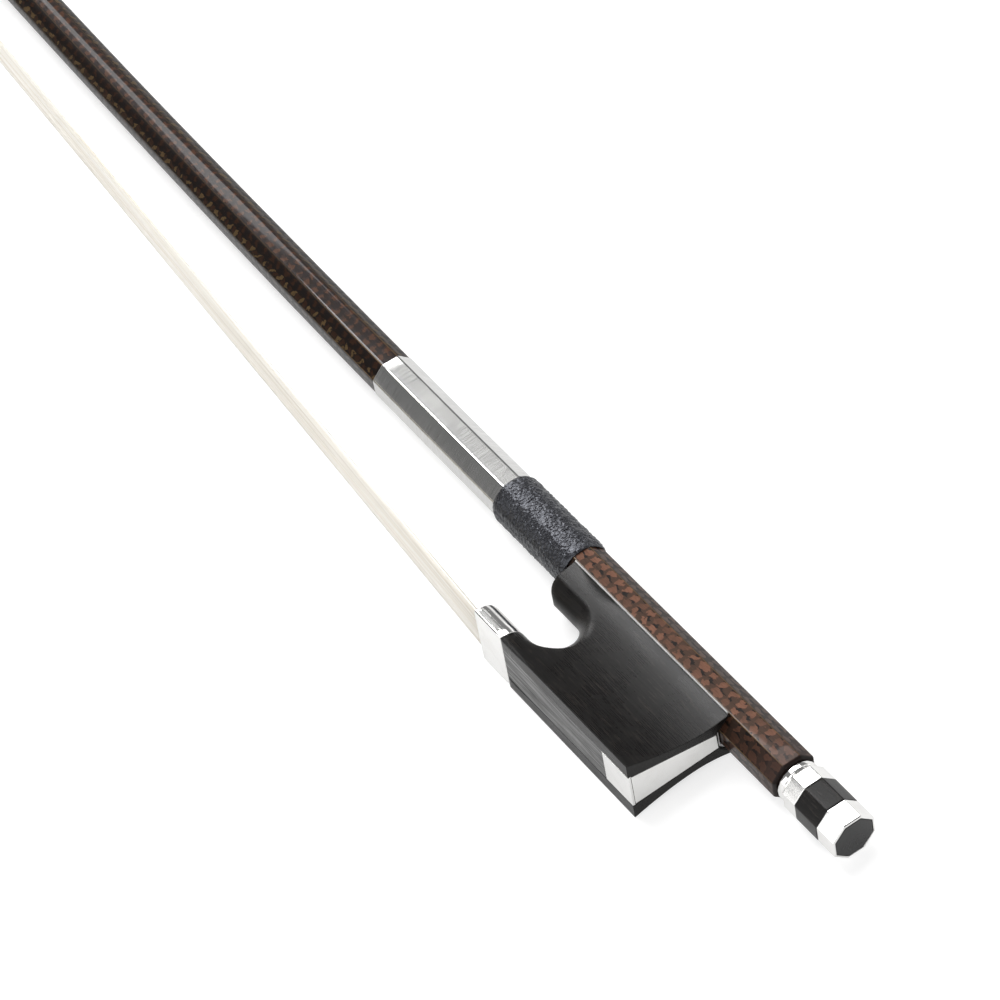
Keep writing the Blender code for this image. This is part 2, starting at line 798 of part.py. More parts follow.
def slide_bar(name, front, rear, low, high, inset, parent, look=None):
    return prism(
        name,
        slide_outline(front, low, high, inset),
        front,
        rear,
        parent,
        look,
        rear_outline=slide_outline(rear, low, high, inset),
    )


def back_plate_outline(inset):
    bottom = SLIDE_HEEL_HALF_WIDTH - inset
    top = BACK_PLATE_TOP_HALF_WIDTH - inset
    return bottom, top


def back_plate(name, foot_depth, inset, outward, parent, look=None):
    """The metal tongue up the heel, set into it. outward pushes its outer face past the wood."""
    bottom, top = back_plate_outline(inset)
    head_depth = BACK_PLATE_TOP_DEPTH + inset
    depth_span = FROG_DEPTH - BACK_PLATE_TOP_DEPTH
    foot_half = blend(top, bottom, (foot_depth - BACK_PLATE_TOP_DEPTH) / depth_span)
    corners = [(-foot_depth, foot_half), (-head_depth, top), (-head_depth, -top), (-foot_depth, -foot_half)]
    behind = HEEL_PLATE_THICKNESS + SEAM - inset
    return prism(
        name,
        corners,
        lambda y: heel_x(y) - behind,
        lambda y: heel_x(y) + outward,
        parent,
        look,
    )


def make_throat_cutter(parent):
    steps = 9
    reach = CHEEK_HEEL_HALF_WIDTH + CUT_MARGIN
    sides = [-reach]
    for i in range(-steps, steps + 1):
        sides.append(FERRULE_SHOULDER_HALF_WIDTH * i / steps)
    sides.append(reach)
    return loft("throat_cutter", [throat_section(side) for side in sides], parent)


def make_frog_block(parent, look):
    lower_front = -FERRULE_REAR + SEAM
    front = frog_outline(CHEEK_FRONT_HALF_WIDTH)
    rear = frog_outline(CHEEK_HEEL_HALF_WIDTH)
    frog = prism("frog_block", front, lower_front, heel_x, parent, look, rear_outline=rear)
    tongue_bottom = THROAT_TOP_DEPTH + CUT_MARGIN
    tongue = [point for point in front if point[0] > -tongue_bottom]
    tongue_rear = -FERRULE_REAR + CUT_MARGIN
    nose = TONGUE_NOSE_RADIUS

    def tongue_front(y):
        depth_past = max(-y - (THROAT_TOP_DEPTH - nose), 0.0)
        reach = min(depth_past / nose, 1.0)
        return -FROG_FRONT + nose * (1 - sqrt(1 - reach**2))

    join(frog, prism("frog_tongue_part", tongue, tongue_front, tongue_rear, parent))
    tenon = prism(
        "ferrule_tenon_part",
        ferrule_outline(FERRULE_WALL + SEAM, TENON_DEPTH),
        -FERRULE_FRONT + TENON_SETBACK,
        tongue_rear,
        parent,
    )
    join(frog, tenon)
    cut(frog, make_throat_cutter(parent))
    cut(frog, slide_bar(
        "slide_slot_cutter",
        -FERRULE_REAR - CUT_MARGIN,
        -HEEL_PLATE_FRONT,
        FROG_DEPTH + CUT_MARGIN,
        FROG_DEPTH - SLIDE_SLOT_DEPTH,
        0.0,
        parent,
    ))
    cut(frog, slide_bar(
        "heel_recess_cutter",
        -HEEL_PLATE_FRONT - CUT_MARGIN,
        -FROG_HEEL + CUT_MARGIN,
        FROG_DEPTH + CUT_MARGIN,
        FROG_DEPTH - HEEL_PLATE_THICKNESS - SEAM,
        -SEAM,
        parent,
    ))
    channel_top = HAIR_CHANNEL_DEPTH - HAIR_THICKNESS / 2 - BORE_CLEARANCE
    cut(frog, block(
        "hair_channel_cutter",
        (-FERRULE_REAR - CUT_MARGIN, -FROG_DEPTH - CUT_MARGIN, -HAIR_FROG_HALF_WIDTH - BORE_CLEARANCE),
        (-FROG_MORTISE_REAR, -channel_top, HAIR_FROG_HALF_WIDTH + BORE_CLEARANCE),
        parent,
    ))
    cut(frog, block(
        "frog_mortise_cutter",
        (-FROG_MORTISE_FRONT, -FROG_DEPTH - CUT_MARGIN, -FROG_MORTISE_HALF_WIDTH),
        (-FROG_MORTISE_REAR, -FROG_MORTISE_DEPTH, FROG_MORTISE_HALF_WIDTH),
        parent,
    ))
    cut(frog, back_plate("back_plate_cutter", FROG_DEPTH + CUT_MARGIN, 0.0, CUT_MARGIN, parent))
    return frog


def make_lining(parent, look):
    inner = bed_outline(bed_distance(0.0), LINING_TOP_DEPTH - LINING_THICKNESS / 2)
    outer = bed_outline(bed_distance(LINING_THICKNESS), LINING_TOP_DEPTH)
    return prism("underslide_lining", inner + outer[::-1], -LINING_FRONT, -LINING_REAR, parent, look)


def make_lining_screws(frog, lining, parent, look):
    face = -bed_distance(0.0)
    head = LINING_SCREW_HEAD_RADIUS
    for place, end in zip(LINING_SCREW_PLACES, ("front", "rear")):
        top = Vector((-place, face - SEAM, 0))
        neck = top + Vector((0, SEAM - LINING_THICKNESS - SEAM, 0))
        tip = top + Vector((0, -LINING_SCREW_LENGTH, 0))
        above = top + Vector((0, CUT_MARGIN, 0))
        below = tip + Vector((0, -FIT, 0))
        hole = rod(f"{end}_screw_hole_cutter", above, below, LINING_SCREW_RADIUS + FIT, parent)
        cut(frog, hole)
        cut(lining, rod(f"{end}_screw_seat_cutter", above, neck - Vector((0, CUT_MARGIN, 0)), head + FIT, parent))
        screw = rod(f"lining_screw_{end}", top, neck, head, parent, look)
        join(screw, rod(f"{end}_screw_shank_part", neck + Vector((0, SEAM, 0)), tip, LINING_SCREW_RADIUS, parent))


def make_eyelet(frog, lining, parent, look):
    half = EYELET_LENGTH / 2
    eyelet = block(
        "eyelet",
        (-EYELET_PLACE - half, -EYELET_NECK_DEPTH, -EYELET_WIDTH / 2),
        (-EYELET_PLACE + half, EYELET_TOP, EYELET_WIDTH / 2),
        parent,
        look,
    )
    top = Vector((-EYELET_PLACE, -EYELET_NECK_DEPTH + JOIN_OVERLAP, 0))
    bottom = Vector((-EYELET_PLACE, -EYELET_SHANK_END, 0))
    join(eyelet, rod("eyelet_shank_part", top, bottom, EYELET_SHANK_RADIUS, parent))
    ends = (
        Vector((-EYELET_PLACE - half - CUT_MARGIN, 0, 0)),
        Vector((-EYELET_PLACE + half + CUT_MARGIN, 0, 0)),
    )
    cut(eyelet, rod("eyelet_thread_cutter", ends[0], ends[1], THREAD_RADIUS + FIT, parent))
    hole = rod(
        "shank_hole_cutter",
        Vector((-EYELET_PLACE, CUT_MARGIN, 0)),
        Vector((-EYELET_PLACE, -EYELET_SHANK_END - FIT, 0)),
        EYELET_SHANK_RADIUS + FIT,
        parent,
    )
    cut(frog, hole)
    cut(lining, hole)


def make_ferrule(parent, look):
    rings = []
    for inset in (0.0, FERRULE_WALL):
        rings.append(
            [[Vector((x, y, z)) for y, z in ferrule_outline(inset)]
             for x in (-FERRULE_FRONT, -FERRULE_REAR)]
        )
    shell("ferrule", rings[0], rings[1], parent, look)


def make_slide(parent, looks):
    front = -FERRULE_REAR + SEAM
    rear = -HEEL_PLATE_FRONT - SEAM
    top = FROG_DEPTH - SLIDE_SLOT_DEPTH + SEAM
    slide_bar("slide", front, rear, FROG_DEPTH - INLAY_THICKNESS - SEAM, top, SEAM, parent, looks["ebony"])
    slide_bar(
        "slide_inlay", front, rear, FROG_DEPTH, FROG_DEPTH - INLAY_THICKNESS, SEAM, parent, looks["brushed"]
    )
    heel_end = -FROG_HEEL
    shelf = FROG_DEPTH - HEEL_PLATE_THICKNESS
    slide_bar(
        "heel_plate_lower", -HEEL_PLATE_FRONT, heel_end, FROG_DEPTH, shelf, 0.0, parent, looks["silver"]
    )
    back_plate("heel_plate_back", shelf - SEAM, SEAM, 0.0, parent, looks["silver"])


# Hair


def hair_ring(centre, thick, half_width, thickness=HAIR_THICKNESS):
    half = thickness / 2
    return [
        centre + thick * half + Vector((0, 0, half_width)),
        centre + thick * half - Vector((0, 0, half_width)),
        centre - thick * half - Vector((0, 0, half_width)),
        centre - thick * half + Vector((0, 0, half_width)),
    ]


def make_hair(parent, look):
    """A flat ribbon from the head's mortise, through the ferrule, into the frog's mortise."""
    across = Vector((0, 1, 0))
    riser = -(FROG_MORTISE_FRONT - FIT - HAIR_THICKNESS / 2)
    knot_depth = FROG_MORTISE_DEPTH + 2 * FROG_KNOT_RADIUS + 2 * FIT
    channel = -HAIR_CHANNEL_DEPTH
    frog_corner = Vector((-1, 1, 0))
    wedge_end = -FERRULE_FRONT + SEAM + WEDGE_LENGTH + FIT
    mouth = Vector((-FERRULE_FRONT, -HAIR_MOUTH_DEPTH, 0))
    rise_reach = HEAD_MORTISE_START + FIT + HAIR_THICKNESS / 2
    knot_rise = HEAD_FACE + HEAD_MORTISE_DEPTH - 2 * HEAD_KNOT_RADIUS - 2 * FIT
    head_corner = HEAD.up - HEAD.along
    free = (HAIR_FREE_HALF_WIDTH, HAIR_FREE_THICKNESS)
    rings = [
        hair_ring(Vector((riser, -knot_depth, 0)), Vector((-1, 0, 0)), HAIR_FROG_HALF_WIDTH),
        hair_ring(Vector((riser, channel, 0)), frog_corner, HAIR_FROG_HALF_WIDTH),
        hair_ring(Vector((-FERRULE_REAR - 2 * FIT, channel, 0)), across, HAIR_FROG_HALF_WIDTH),
        hair_ring(Vector((wedge_end, -HAIR_MOUTH_DEPTH, 0)), across, HAIR_FERRULE_HALF_WIDTH),
        hair_ring(mouth, HEAD.up, HAIR_FERRULE_HALF_WIDTH),
        hair_ring(mouth + HEAD.along * HAIR_GATHER_LENGTH, HEAD.up, *free),
        hair_ring(HEAD.point(-HAIR_SPREAD_LENGTH, 0), HEAD.up, *free),
        hair_ring(HEAD.point(0, 0), HEAD.up, HAIR_HEAD_HALF_WIDTH),
        hair_ring(HEAD.point(rise_reach, 0), head_corner, HAIR_HEAD_HALF_WIDTH),
        hair_ring(HEAD.point(rise_reach, knot_rise), HEAD.along * -1, HAIR_HEAD_HALF_WIDTH),
    ]
    loft("hair_ribbon", rings, parent, look)


def make_frog_hair_fittings(parent, looks):
    knot = Vector((-FROG_MORTISE_FRONT + FIT + FROG_KNOT_RADIUS, -FROG_MORTISE_DEPTH - FIT - FROG_KNOT_RADIUS, 0))
    side = Vector((0, 0, FROG_MORTISE_HALF_WIDTH - FIT))
    rod("frog_hair_knot", knot - side, knot + side, FROG_KNOT_RADIUS, parent, looks["thread"])
    block(
        "frog_plug",
        (-FROG_MORTISE_REAR - FIT - PLUG_LENGTH, -FROG_DEPTH + SLIDE_SLOT_DEPTH, -FROG_MORTISE_HALF_WIDTH + FIT),
        (-FROG_MORTISE_REAR - FIT, -FROG_MORTISE_DEPTH - FIT, FROG_MORTISE_HALF_WIDTH - FIT),
        parent,
        looks["maple"],
    )
    wedge_bottom = HAIR_MOUTH_DEPTH - HAIR_THICKNESS / 2 - SEAM
    wedge_half = HAIR_FERRULE_HALF_WIDTH - FIT
    block(
        "spread_wedge",
        (-FERRULE_FRONT + SEAM, -wedge_bottom, -wedge_half),
        (-FERRULE_FRONT + SEAM + WEDGE_LENGTH, -wedge_bottom + WEDGE_THICKNESS, wedge_half),
        parent,
        looks["maple"],
    )


def shown_points(obj, graph):
    shown = obj.evaluated_get(graph)
    return [obj.matrix_world @ vertex.co for vertex in shown.data.vertices]


def resting_direction(supports):
    """What turns down when the bow rests on one point of each of three pieces."""
    down = Vector((0, 0, -1))
    settling_rounds = 4
    for _ in range(settling_rounds):
        a, b, c = [max(points, key=down.dot) for points in supports]
        normal = (b - a).cross(c - a).normalized()
        down = normal if normal.z < 0 else -normal
    return down


def lay_down(frame, supports):
    """Lays the bow on its side: its lowest point at Z = 0 and its middle over the origin."""
    bpy.context.view_layer.update()
    graph = bpy.context.evaluated_depsgraph_get()
    down = resting_direction([shown_points(obj, graph) for obj in supports])
    frame.rotation_mode = "QUATERNION"
    frame.rotation_quaternion = down.rotation_difference(Vector((0, 0, -1)))
    bpy.context.view_layer.update()
    graph = bpy.context.evaluated_depsgraph_get()
    points = []
    for obj in bpy.context.scene.objects:
        if obj.type == "MESH" and not obj.hide_render:
            points += shown_points(obj, graph)
    low = Vector([min(point[i] for point in points) for i in range(3)])
    high = Vector([max(point[i] for point in points) for i in range(3)])
    frame.location = Vector((-(low.x + high.x) / 2, -(low.y + high.y) / 2, -low.z))


clear_scene()
bow_frame = empty("bow_frame")
stick_body = empty("stick_body", bow_frame)
screw_body = empty("screw_axis", bow_frame)
frog_body = empty("frog_slide", bow_frame)
LOOKS = {
    "carbon": material("carbon_weave", (0.045, 0.022, 0.014), 0.25, 0.0),
    "silver": material("polished_silver", (0.80, 0.80, 0.79), 0.12, 1.0),
    "sleeve": material("brushed_sleeve", (0.62, 0.62, 0.60), 0.32, 1.0),
    "brushed": material("brushed_grey", (0.14, 0.14, 0.145), 0.45, 1.0),
    "leather": material("black_leather", (0.012, 0.012, 0.014), 0.5, 0.0),
    "ebony": material("ebony", (0.010, 0.009, 0.009), 0.4, 0.0),
    "eye": material("black_eye", (0.010, 0.010, 0.010), 0.15, 0.0),
    "ivory": material("ivory_polymer", (0.78, 0.74, 0.64), 0.35, 0.0),
    "fibre": material("black_fibre", (0.012, 0.012, 0.012), 0.6, 0.0),
    "maple": material("maple", (0.60, 0.42, 0.25), 0.55, 0.0),
    "thread": material("thread", (0.75, 0.70, 0.60), 0.8, 0.0),
    "hair": material("horsehair", (0.83, 0.78, 0.68), 0.45, 0.0),
    "steel": material("screw_steel", (0.45, 0.45, 0.46), 0.3, 1.0),
    "brass": material("brass", (0.60, 0.42, 0.16), 0.3, 1.0),
}
HEAD_MORTISE = make_head_mortise(stick_body)
make_stick(stick_body, LOOKS["carbon"])
tip_plate = make_head_fittings(stick_body, LOOKS)
make_sleeve(stick_body, LOOKS["sleeve"])
grip = make_leather(stick_body, LOOKS["leather"])
make_hair(stick_body, LOOKS["hair"])
make_button(screw_body, LOOKS)
frog_wood = make_frog_block(frog_body, LOOKS["ebony"])
frog_lining = make_lining(frog_body, LOOKS["silver"])
make_lining_screws(frog_wood, frog_lining, frog_body, LOOKS["brass"])
make_eyelet(frog_wood, frog_lining, frog_body, LOOKS["brass"])
make_ferrule(frog_body, LOOKS["silver"])
make_slide(frog_body, LOOKS)
make_frog_hair_fittings(frog_body, LOOKS)
lay_down(bow_frame, (frog_wood, grip, tip_plate))
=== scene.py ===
"""A violin bow that lies on its side on a white table, seen from the frog's end.

Every piece is made in the bow's own frame: the origin on the stick's axis at the butt, +X towards the
button, +Y from the hair towards the stick's back, and +Z through the frog's upper cheek. The matrix BOW
then lays it in the frame of the solids. Lengths are in metres.
"""

import json
from math import asin, atan2, cos, pi, radians, sin, sqrt, tan
from random import Random

import bmesh
import bpy
from mathutils import Matrix, Vector, noise


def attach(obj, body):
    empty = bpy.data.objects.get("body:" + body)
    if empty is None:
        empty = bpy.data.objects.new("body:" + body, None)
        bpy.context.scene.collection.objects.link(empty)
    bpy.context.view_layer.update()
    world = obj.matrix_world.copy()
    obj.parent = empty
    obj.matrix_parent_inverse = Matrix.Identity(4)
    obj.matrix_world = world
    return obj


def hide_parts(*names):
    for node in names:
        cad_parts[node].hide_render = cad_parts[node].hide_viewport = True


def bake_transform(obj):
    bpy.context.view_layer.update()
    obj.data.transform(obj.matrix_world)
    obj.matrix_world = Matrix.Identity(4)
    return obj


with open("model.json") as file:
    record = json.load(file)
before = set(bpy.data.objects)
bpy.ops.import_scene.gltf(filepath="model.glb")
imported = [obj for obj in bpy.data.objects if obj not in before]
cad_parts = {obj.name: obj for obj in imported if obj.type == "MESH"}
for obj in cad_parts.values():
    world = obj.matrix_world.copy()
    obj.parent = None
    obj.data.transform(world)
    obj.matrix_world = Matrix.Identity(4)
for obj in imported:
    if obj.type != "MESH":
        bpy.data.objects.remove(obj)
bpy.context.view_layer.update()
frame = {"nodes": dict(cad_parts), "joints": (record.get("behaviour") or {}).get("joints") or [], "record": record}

# Stick
BUTT_FLATS = 0.0086
TIP_DIAMETER = 0.0054
TAPER_POWER = 1.35
SHAFT_LENGTH = 0.701
HANDLE_LENGTH = 0.090
CAMBER_RADIUS = 4.76
OCTAGON_LENGTH = 0.150
ROUND_LENGTH = 0.225
BUTT_ROUND = 0.0007
SHAFT_WALL = 0.0015
HOLLOW_START = 0.096
HOLLOW_END = 0.690
NIPPLE_RADIUS = 0.0026
NIPPLE_LENGTH = 0.0018
SCREW_BORE = 0.0035
JOURNAL_BORE = 0.0029
BORE_STEP = 0.0565
FACET_ROUND = 0.00045
FACET_ROUND_FAR = 0.0018
REAR_RINGS = range(4, 65, 4)
FRONT_RINGS = range(125, 701, 8)
BORE_RINGS = 40
HEAD_RINGS = 30

# Head
HEAD_DROP = 0.0208
HEAD_REACH = 0.0080
PLATE_LENGTH = 0.0255
PLATE_HALF_WIDTH = 0.0053
PLATE_THICKNESS = 0.0010
PLATE_LINING_THICKNESS = 0.0005
PLATE_ABOVE_HAIR = 0.0003
PLATE_RIM_SHARE = 0.2
NOSE_SQUARENESS = 1.3
HEEL_SQUARENESS = 0.45
HEAD_WAIST_POWER = 1.6
RIDGE_START_HANDLE = 0.016
RIDGE_END_HANDLE = 0.009
RIDGE_END_LEAN = 0.0025
THROAT_START_HANDLE = 0.0065
THROAT_END_HANDLE = 0.009
HEAD_MORTISE_START = 0.003
HEAD_MORTISE_LENGTH = 0.0085
HEAD_MORTISE_DEPTH = 0.0052
HEAD_MORTISE_HALF_WIDTH = 0.0039
HEAD_KNOT_RADIUS = 0.0010

# Grip
SLEEVE_FRONT = 0.1199
SLEEVE_REAR = 0.0665
SLEEVE_WALL = 0.00025
SLEEVE_PROUD = 0.00006
SLEEVE_ROUND = 0.0009
SLEEVE_EDGE_DROP = 0.6
SLEEVE_RINGS = 20
LEATHER_FRONT = 0.0815
LEATHER_REAR = 0.0602
LEATHER_WALL = 0.00062
LEATHER_ROUNDNESS = 0.85
LEATHER_EDGE = 0.0011
LEATHER_END_HEIGHT = 0.25
LEATHER_SIDES = 288
LEATHER_RINGS = 160
PEBBLE_LENGTH = 0.00055
PEBBLE_WIDTH = 0.00115
PEBBLE_HEIGHT = 0.00022
PEBBLE_SEED = 1

# Button
COLLAR_RADIUS = 0.0040
COLLAR_LENGTH = 0.0020
COLLAR_EDGE = 0.0003
COLLAR_EDGE_DEPTH = 0.0002
COLLAR_GROOVE_LENGTH = 0.0005
COLLAR_GROOVE_DEPTH = 0.0004
BUTTON_GAP = 0.0003
BUTTON_FLATS = 0.00848
BUTTON_ROUND = 0.00028
FRONT_BAND_END = 0.0055
CORE_BAND_END = 0.0115
BUTTON_END = 0.0160
END_BEVEL = 0.0003
RING_WALL = 0.0012
WEB_THICKNESS = 0.0010
EYE_THICKNESS = 0.0009
EYE_RIM = 0.00025
TANG_SIDE = 0.0023
BORE_CLEARANCE = 0.0003
BUTTON_RIM = 0.00008

# Frog
FROG_FRONT = 0.0588
FROG_HEEL = 0.0155
HEEL_LEAN = 0.0011
FROG_DEPTH = 0.0225
CHEEK_HEEL_HALF_WIDTH = 0.00685
CHEEK_FRONT_HALF_WIDTH = 0.0066
CHEEK_WAIST_HALF_WIDTH = 0.0040
CHEEK_TOP_HALF_WIDTH = 0.00485
CHEEK_WAIST_DEPTH = 0.0085
CHEEK_TOP_DEPTH = 0.0024
CHEEK_POWER = 1.7
THROAT_CENTRE = 0.0510
THROAT_REAR = 0.04675
THROAT_TOP_DEPTH = 0.0086
THROAT_FLARE = 0.0029
THROAT_FLARE_HALF_WIDTH = 0.0044
THROAT_FLARE_POWER = 2.2
TONGUE_NOSE_RADIUS = 0.0016
LINING_FRONT = 0.05895
LINING_REAR = 0.0144
LINING_END_INSET = 0.0008
LINING_THICKNESS = 0.0004
LINING_TOP_DEPTH = 0.0021
RUNNING_GAP = 0.0002
LINING_SCREW_RADIUS = 0.0007
LINING_SCREW_HEAD_RADIUS = 0.0011
LINING_SCREW_LENGTH = 0.0030
LINING_SCREW_PLACES = (0.0535, 0.0200)

# Ferrule, slide and heel plates
FERRULE_FRONT = 0.0600
FERRULE_REAR = 0.0521
FERRULE_HALF_WIDTH = 0.0065
FERRULE_SHOULDER_HALF_WIDTH = 0.0063
FERRULE_SHOULDER_DEPTH = 0.0210
FERRULE_ARCH_DEPTH = 0.01725
FERRULE_WALL = 0.00045
FERRULE_LIP = 0.00016
FERRULE_FOOT_ROUND = 0.0005
FERRULE_RINGS = 8
TENON_DEPTH = 0.0190
TENON_SETBACK = 0.0005
SLIDE_FRONT_HALF_WIDTH = 0.0039
SLIDE_HEEL_HALF_WIDTH = 0.00365
SLIDE_SLOT_DEPTH = 0.0021
DOVETAIL_SPREAD = 0.0005
INLAY_THICKNESS = 0.0005
HEEL_PLATE_FRONT = 0.02305
HEEL_PLATE_THICKNESS = 0.0005
BACK_PLATE_TOP_DEPTH = 0.0051
BACK_PLATE_TOP_HALF_WIDTH = 0.0018

# Eyelet's slot in the stick and its hole in the frog
EYELET_PLACE = 0.0370
EYELET_LENGTH = 0.0050
EYELET_WIDTH = 0.0040
EYELET_TOP = 0.0022
EYELET_SHANK_RADIUS = 0.0015
EYELET_SHANK_END = 0.0110
MORTISE_GAP = 0.0004
FROG_BACK_TRAVEL = 0.0060
FROG_FORWARD_TRAVEL = 0.0010

# Hair
HAIR_FERRULE_HALF_WIDTH = 0.0052
HAIR_HEAD_HALF_WIDTH = 0.0036
HAIR_FREE_HALF_WIDTH = 0.0044
HAIR_FREE_THICKNESS = 0.0005
HAIR_GATHER_LENGTH = 0.130
HAIR_SPREAD_LENGTH = 0.020
HAIR_FROG_HALF_WIDTH = 0.0029
HAIR_THICKNESS = 0.0009
HAIR_MOUTH_DEPTH = 0.0215
HAIR_CHANNEL_DEPTH = 0.0199
WEDGE_LENGTH = 0.0040
FROG_MORTISE_FRONT = 0.0430
FROG_MORTISE_REAR = 0.0330
FROG_MORTISE_HALF_WIDTH = 0.0033
FROG_MORTISE_DEPTH = 0.0140
FROG_KNOT_RADIUS = 0.0012
BAND_SIDES = 64
BAND_SQUARENESS = 0.35
BAND_RIPPLE = 0.12
BAND_RIPPLES_ACROSS = 9.0
BAND_RIPPLES_ALONG = 14.0
STRAND_RADIUS = 0.00009
STRAND_COUNT = 150
STRAND_SIDES = 3
STRAND_SEED = 7
STRAND_JITTER = 0.4
STRAND_SINK = (1.6, 1.0)
STRAND_EDGE_POWER = 6
STRAND_SWAYS = ((0.035, 1.0, 9.0), (0.02, 2.3, 31.0))
STRAND_SPREAD = 3.9

SEAM = 0.0001
FIT = 0.0002
CUT_MARGIN = 0.002

# Camera, in the bow's frame
CAMERA_PLACE = Vector((0.42501669, -0.25244628, 0.63337380))
CAMERA_FORWARD = Vector((-0.59773819, 0.2945516, -0.74561948))
CAMERA_RIGHT = Vector((0.56613057, 0.81360694, -0.13243838))
CAMERA_LENS = 175.009
SENSOR_WIDTH = 36.0
NEAREST_SEEN = 0.01
FARTHEST_SEEN = 50.0

# Studio
FLOOR_SIZE = 8.0
FLOOR_GLOW = 0.64
CEILING_GLOW = 0.20
MIRRORED = 0.55
WHITE = (1.0, 1.0, 1.0, 1.0)
FROG_MIDDLE = (-0.045, -0.008, 0.0)
FRONT_EDGE = (-0.007, 0.0, 0.42)

# Lamps: name, centre, size, radiance and target, in the bow's frame
PANELS = (
    ("panel_over_button", (-0.460, 0.20, 1.0), (0.44, 1.10), 5.0),
    ("panel_over_sleeve", (-0.92, 0.42, 1.0), (0.16, 0.40), 0.52),
    ("panel_for_edges", (-0.81, -0.14, 1.0), (0.38, 0.34), 11.0),
    ("panel_over_stick", (-1.335, 0.40, 1.0), (0.49, 0.50), 3.6),
    ("panel_past_the_tip", (-1.30, 0.05, 0.63), (0.55, 0.55), 6.0, FROG_MIDDLE),
    ("panel_low_in_front", (-0.007, -0.80, 0.42), (1.05, 0.70), 1.3, FRONT_EDGE),
    ("fill_by_camera", (1.1, -0.9, 1.3), (1.6, 1.6), 2.0, FROG_MIDDLE),
    ("fill_behind", (0.1, 1.5, 0.9), (1.2, 1.2), 0.8, FROG_MIDDLE),
)

# Looks: millimetres across a facet or a strip of the surface, and the weave
STICK_FACET = 3.4
LEATHER_FACET = 3.6
HAIR_FACET = 1.3
ROWS_ON_FACET = 2.0
PATCH_SQUARENESS = 5.0
FIBRE_SLANT = 52.0
HIDDEN_NODES = {
    "adjuster_screw": "screw_steel",
    "eyelet": "brass",
    "lining_screw_front": "brass",
    "lining_screw_rear": "brass",
    "spread_wedge": "maple",
    "frog_plug": "maple",
    "head_plug": "maple",
    "frog_hair_knot": "thread",
    "head_hair_knot": "thread",
}

FACETS = 8
HALF_FACET = pi / FACETS
MILLIMETRE = 0.001
SURFACE = "surface"


def bow_matrix():
    """Where the bow lies: its axis from the frog's slide, its back from the frog's underside."""
    joints = {joint["name"]: joint for joint in frame["joints"]}
    mounts = {mount["name"]: mount for mount in frame["record"]["mounts"]}
    along = Vector(joints["frog_slide"]["axis"]).normalized()
    back = -Vector(mounts["frog_underside"]["axis"])
    back = (back - along * back.dot(along)).normalized()
    turn = Matrix((along, back, along.cross(back))).transposed().to_4x4()
    turn.translation = Vector(joints["screw_turn"]["pos_m"])
    return turn


BOW = bow_matrix()


def mix(a, b, share):
    return a + (b - a) * share


def clamp(value):
    return min(max(value, 0.0), 1.0)


def millimetres(length):
    return length / MILLIMETRE


def quarter_round(steps):
    """A quarter circle as (1 - cos, 1 - sin), from (0, 1) to (1, 0)."""
    turns = [pi / 2 * i / steps for i in range(steps + 1)]
    return [(1 - cos(turn), 1 - sin(turn)) for turn in turns]


# Meshes


def loft(builder, rings, sides, place, surface, loop=False):
    """A tube of rings drawn out of one circle. place(ring, side) puts each point where it belongs, and
    surface(ring, side) gives its place along and round the piece. Its ends are closed, or joined."""
    verts = list(bmesh.ops.create_circle(builder, segments=sides, radius=1.0)["verts"])
    edges = list(dict.fromkeys(edge for vert in verts for edge in vert.link_edges))
    first = edges
    for _ in range(rings - 1):
        grown = bmesh.ops.extrude_edge_only(builder, edges=edges)["geom"]
        new = [part for part in grown if isinstance(part, bmesh.types.BMVert)]
        fresh = set(new)
        lines = [part for part in grown if isinstance(part, bmesh.types.BMEdge)]
        edges = [line for line in lines if fresh.issuperset(line.verts)]
        verts.extend(new)
        bmesh.ops.translate(builder, verts=new, vec=(0.0, 0.0, 1.0))
    if loop:
        bmesh.ops.bridge_loops(builder, edges=first + edges)
    else:
        bmesh.ops.holes_fill(builder, edges=first)
        bmesh.ops.holes_fill(builder, edges=edges)
    where = {}
    for vert in verts:
        ring = round(vert.co.z)
        side = round(atan2(-vert.co.x, vert.co.y) / (2 * pi) * sides) % sides
        where[vert] = surface(ring, side)
        vert.co = place(ring, side)
    layer = builder.loops.layers.uv.verify()
    for face in {face for vert in verts for face in vert.link_faces}:
        around = [where[corner.vert][1] for corner in face.loops]
        wrap = max(around) - min(around) > FACETS / 2
        for corner in face.loops:
            length, turn = where[corner.vert]
            if wrap and turn < FACETS / 2:
                turn += FACETS
            corner[layer].uv = (length, turn)


def shown(mesh, name, sharp):
    """An object of the mesh, smooth but where it bends more than sharp degrees."""
    mesh.shade_smooth()
    mesh.set_sharp_from_angle(angle=radians(sharp))
    made = bpy.data.objects.new(name, mesh)
    bpy.context.scene.collection.objects.link(made)
    return made


def piece(builder, name, sharp=30.0, in_bow=True):
    """Closes a mesh off as an object: doubles merged, faces outward, flat places kept crisp."""
    bmesh.ops.remove_doubles(builder, verts=builder.verts, dist=1e-7)
    bmesh.ops.recalc_face_normals(builder, faces=builder.faces)
    mesh = bpy.data.meshes.new(name)
    builder.to_mesh(mesh)
    builder.free()
    if mesh.uv_layers:
        mesh.uv_layers[0].name = SURFACE
    if in_bow:
        mesh.transform(BOW)
    return shown(mesh, name, sharp)


def lofted(name, rings, sides, place, surface=None, loop=False, **finish):
    """A piece made of one tube. A cutter needs no surface."""
    builder = bmesh.new()
    loft(builder, rings, sides, place, surface or (lambda ring, side: (0.0, 0.0)), loop)
    return piece(builder, name, **finish)


def set_up(made, slot, body, node, look=None):
    """Gives a piece its material and its body, and hides the solid that it stands for."""
    made.data.materials.clear()
    made.data.materials.append(LOOKS[look or slot])
    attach(made, body)
    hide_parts(node)


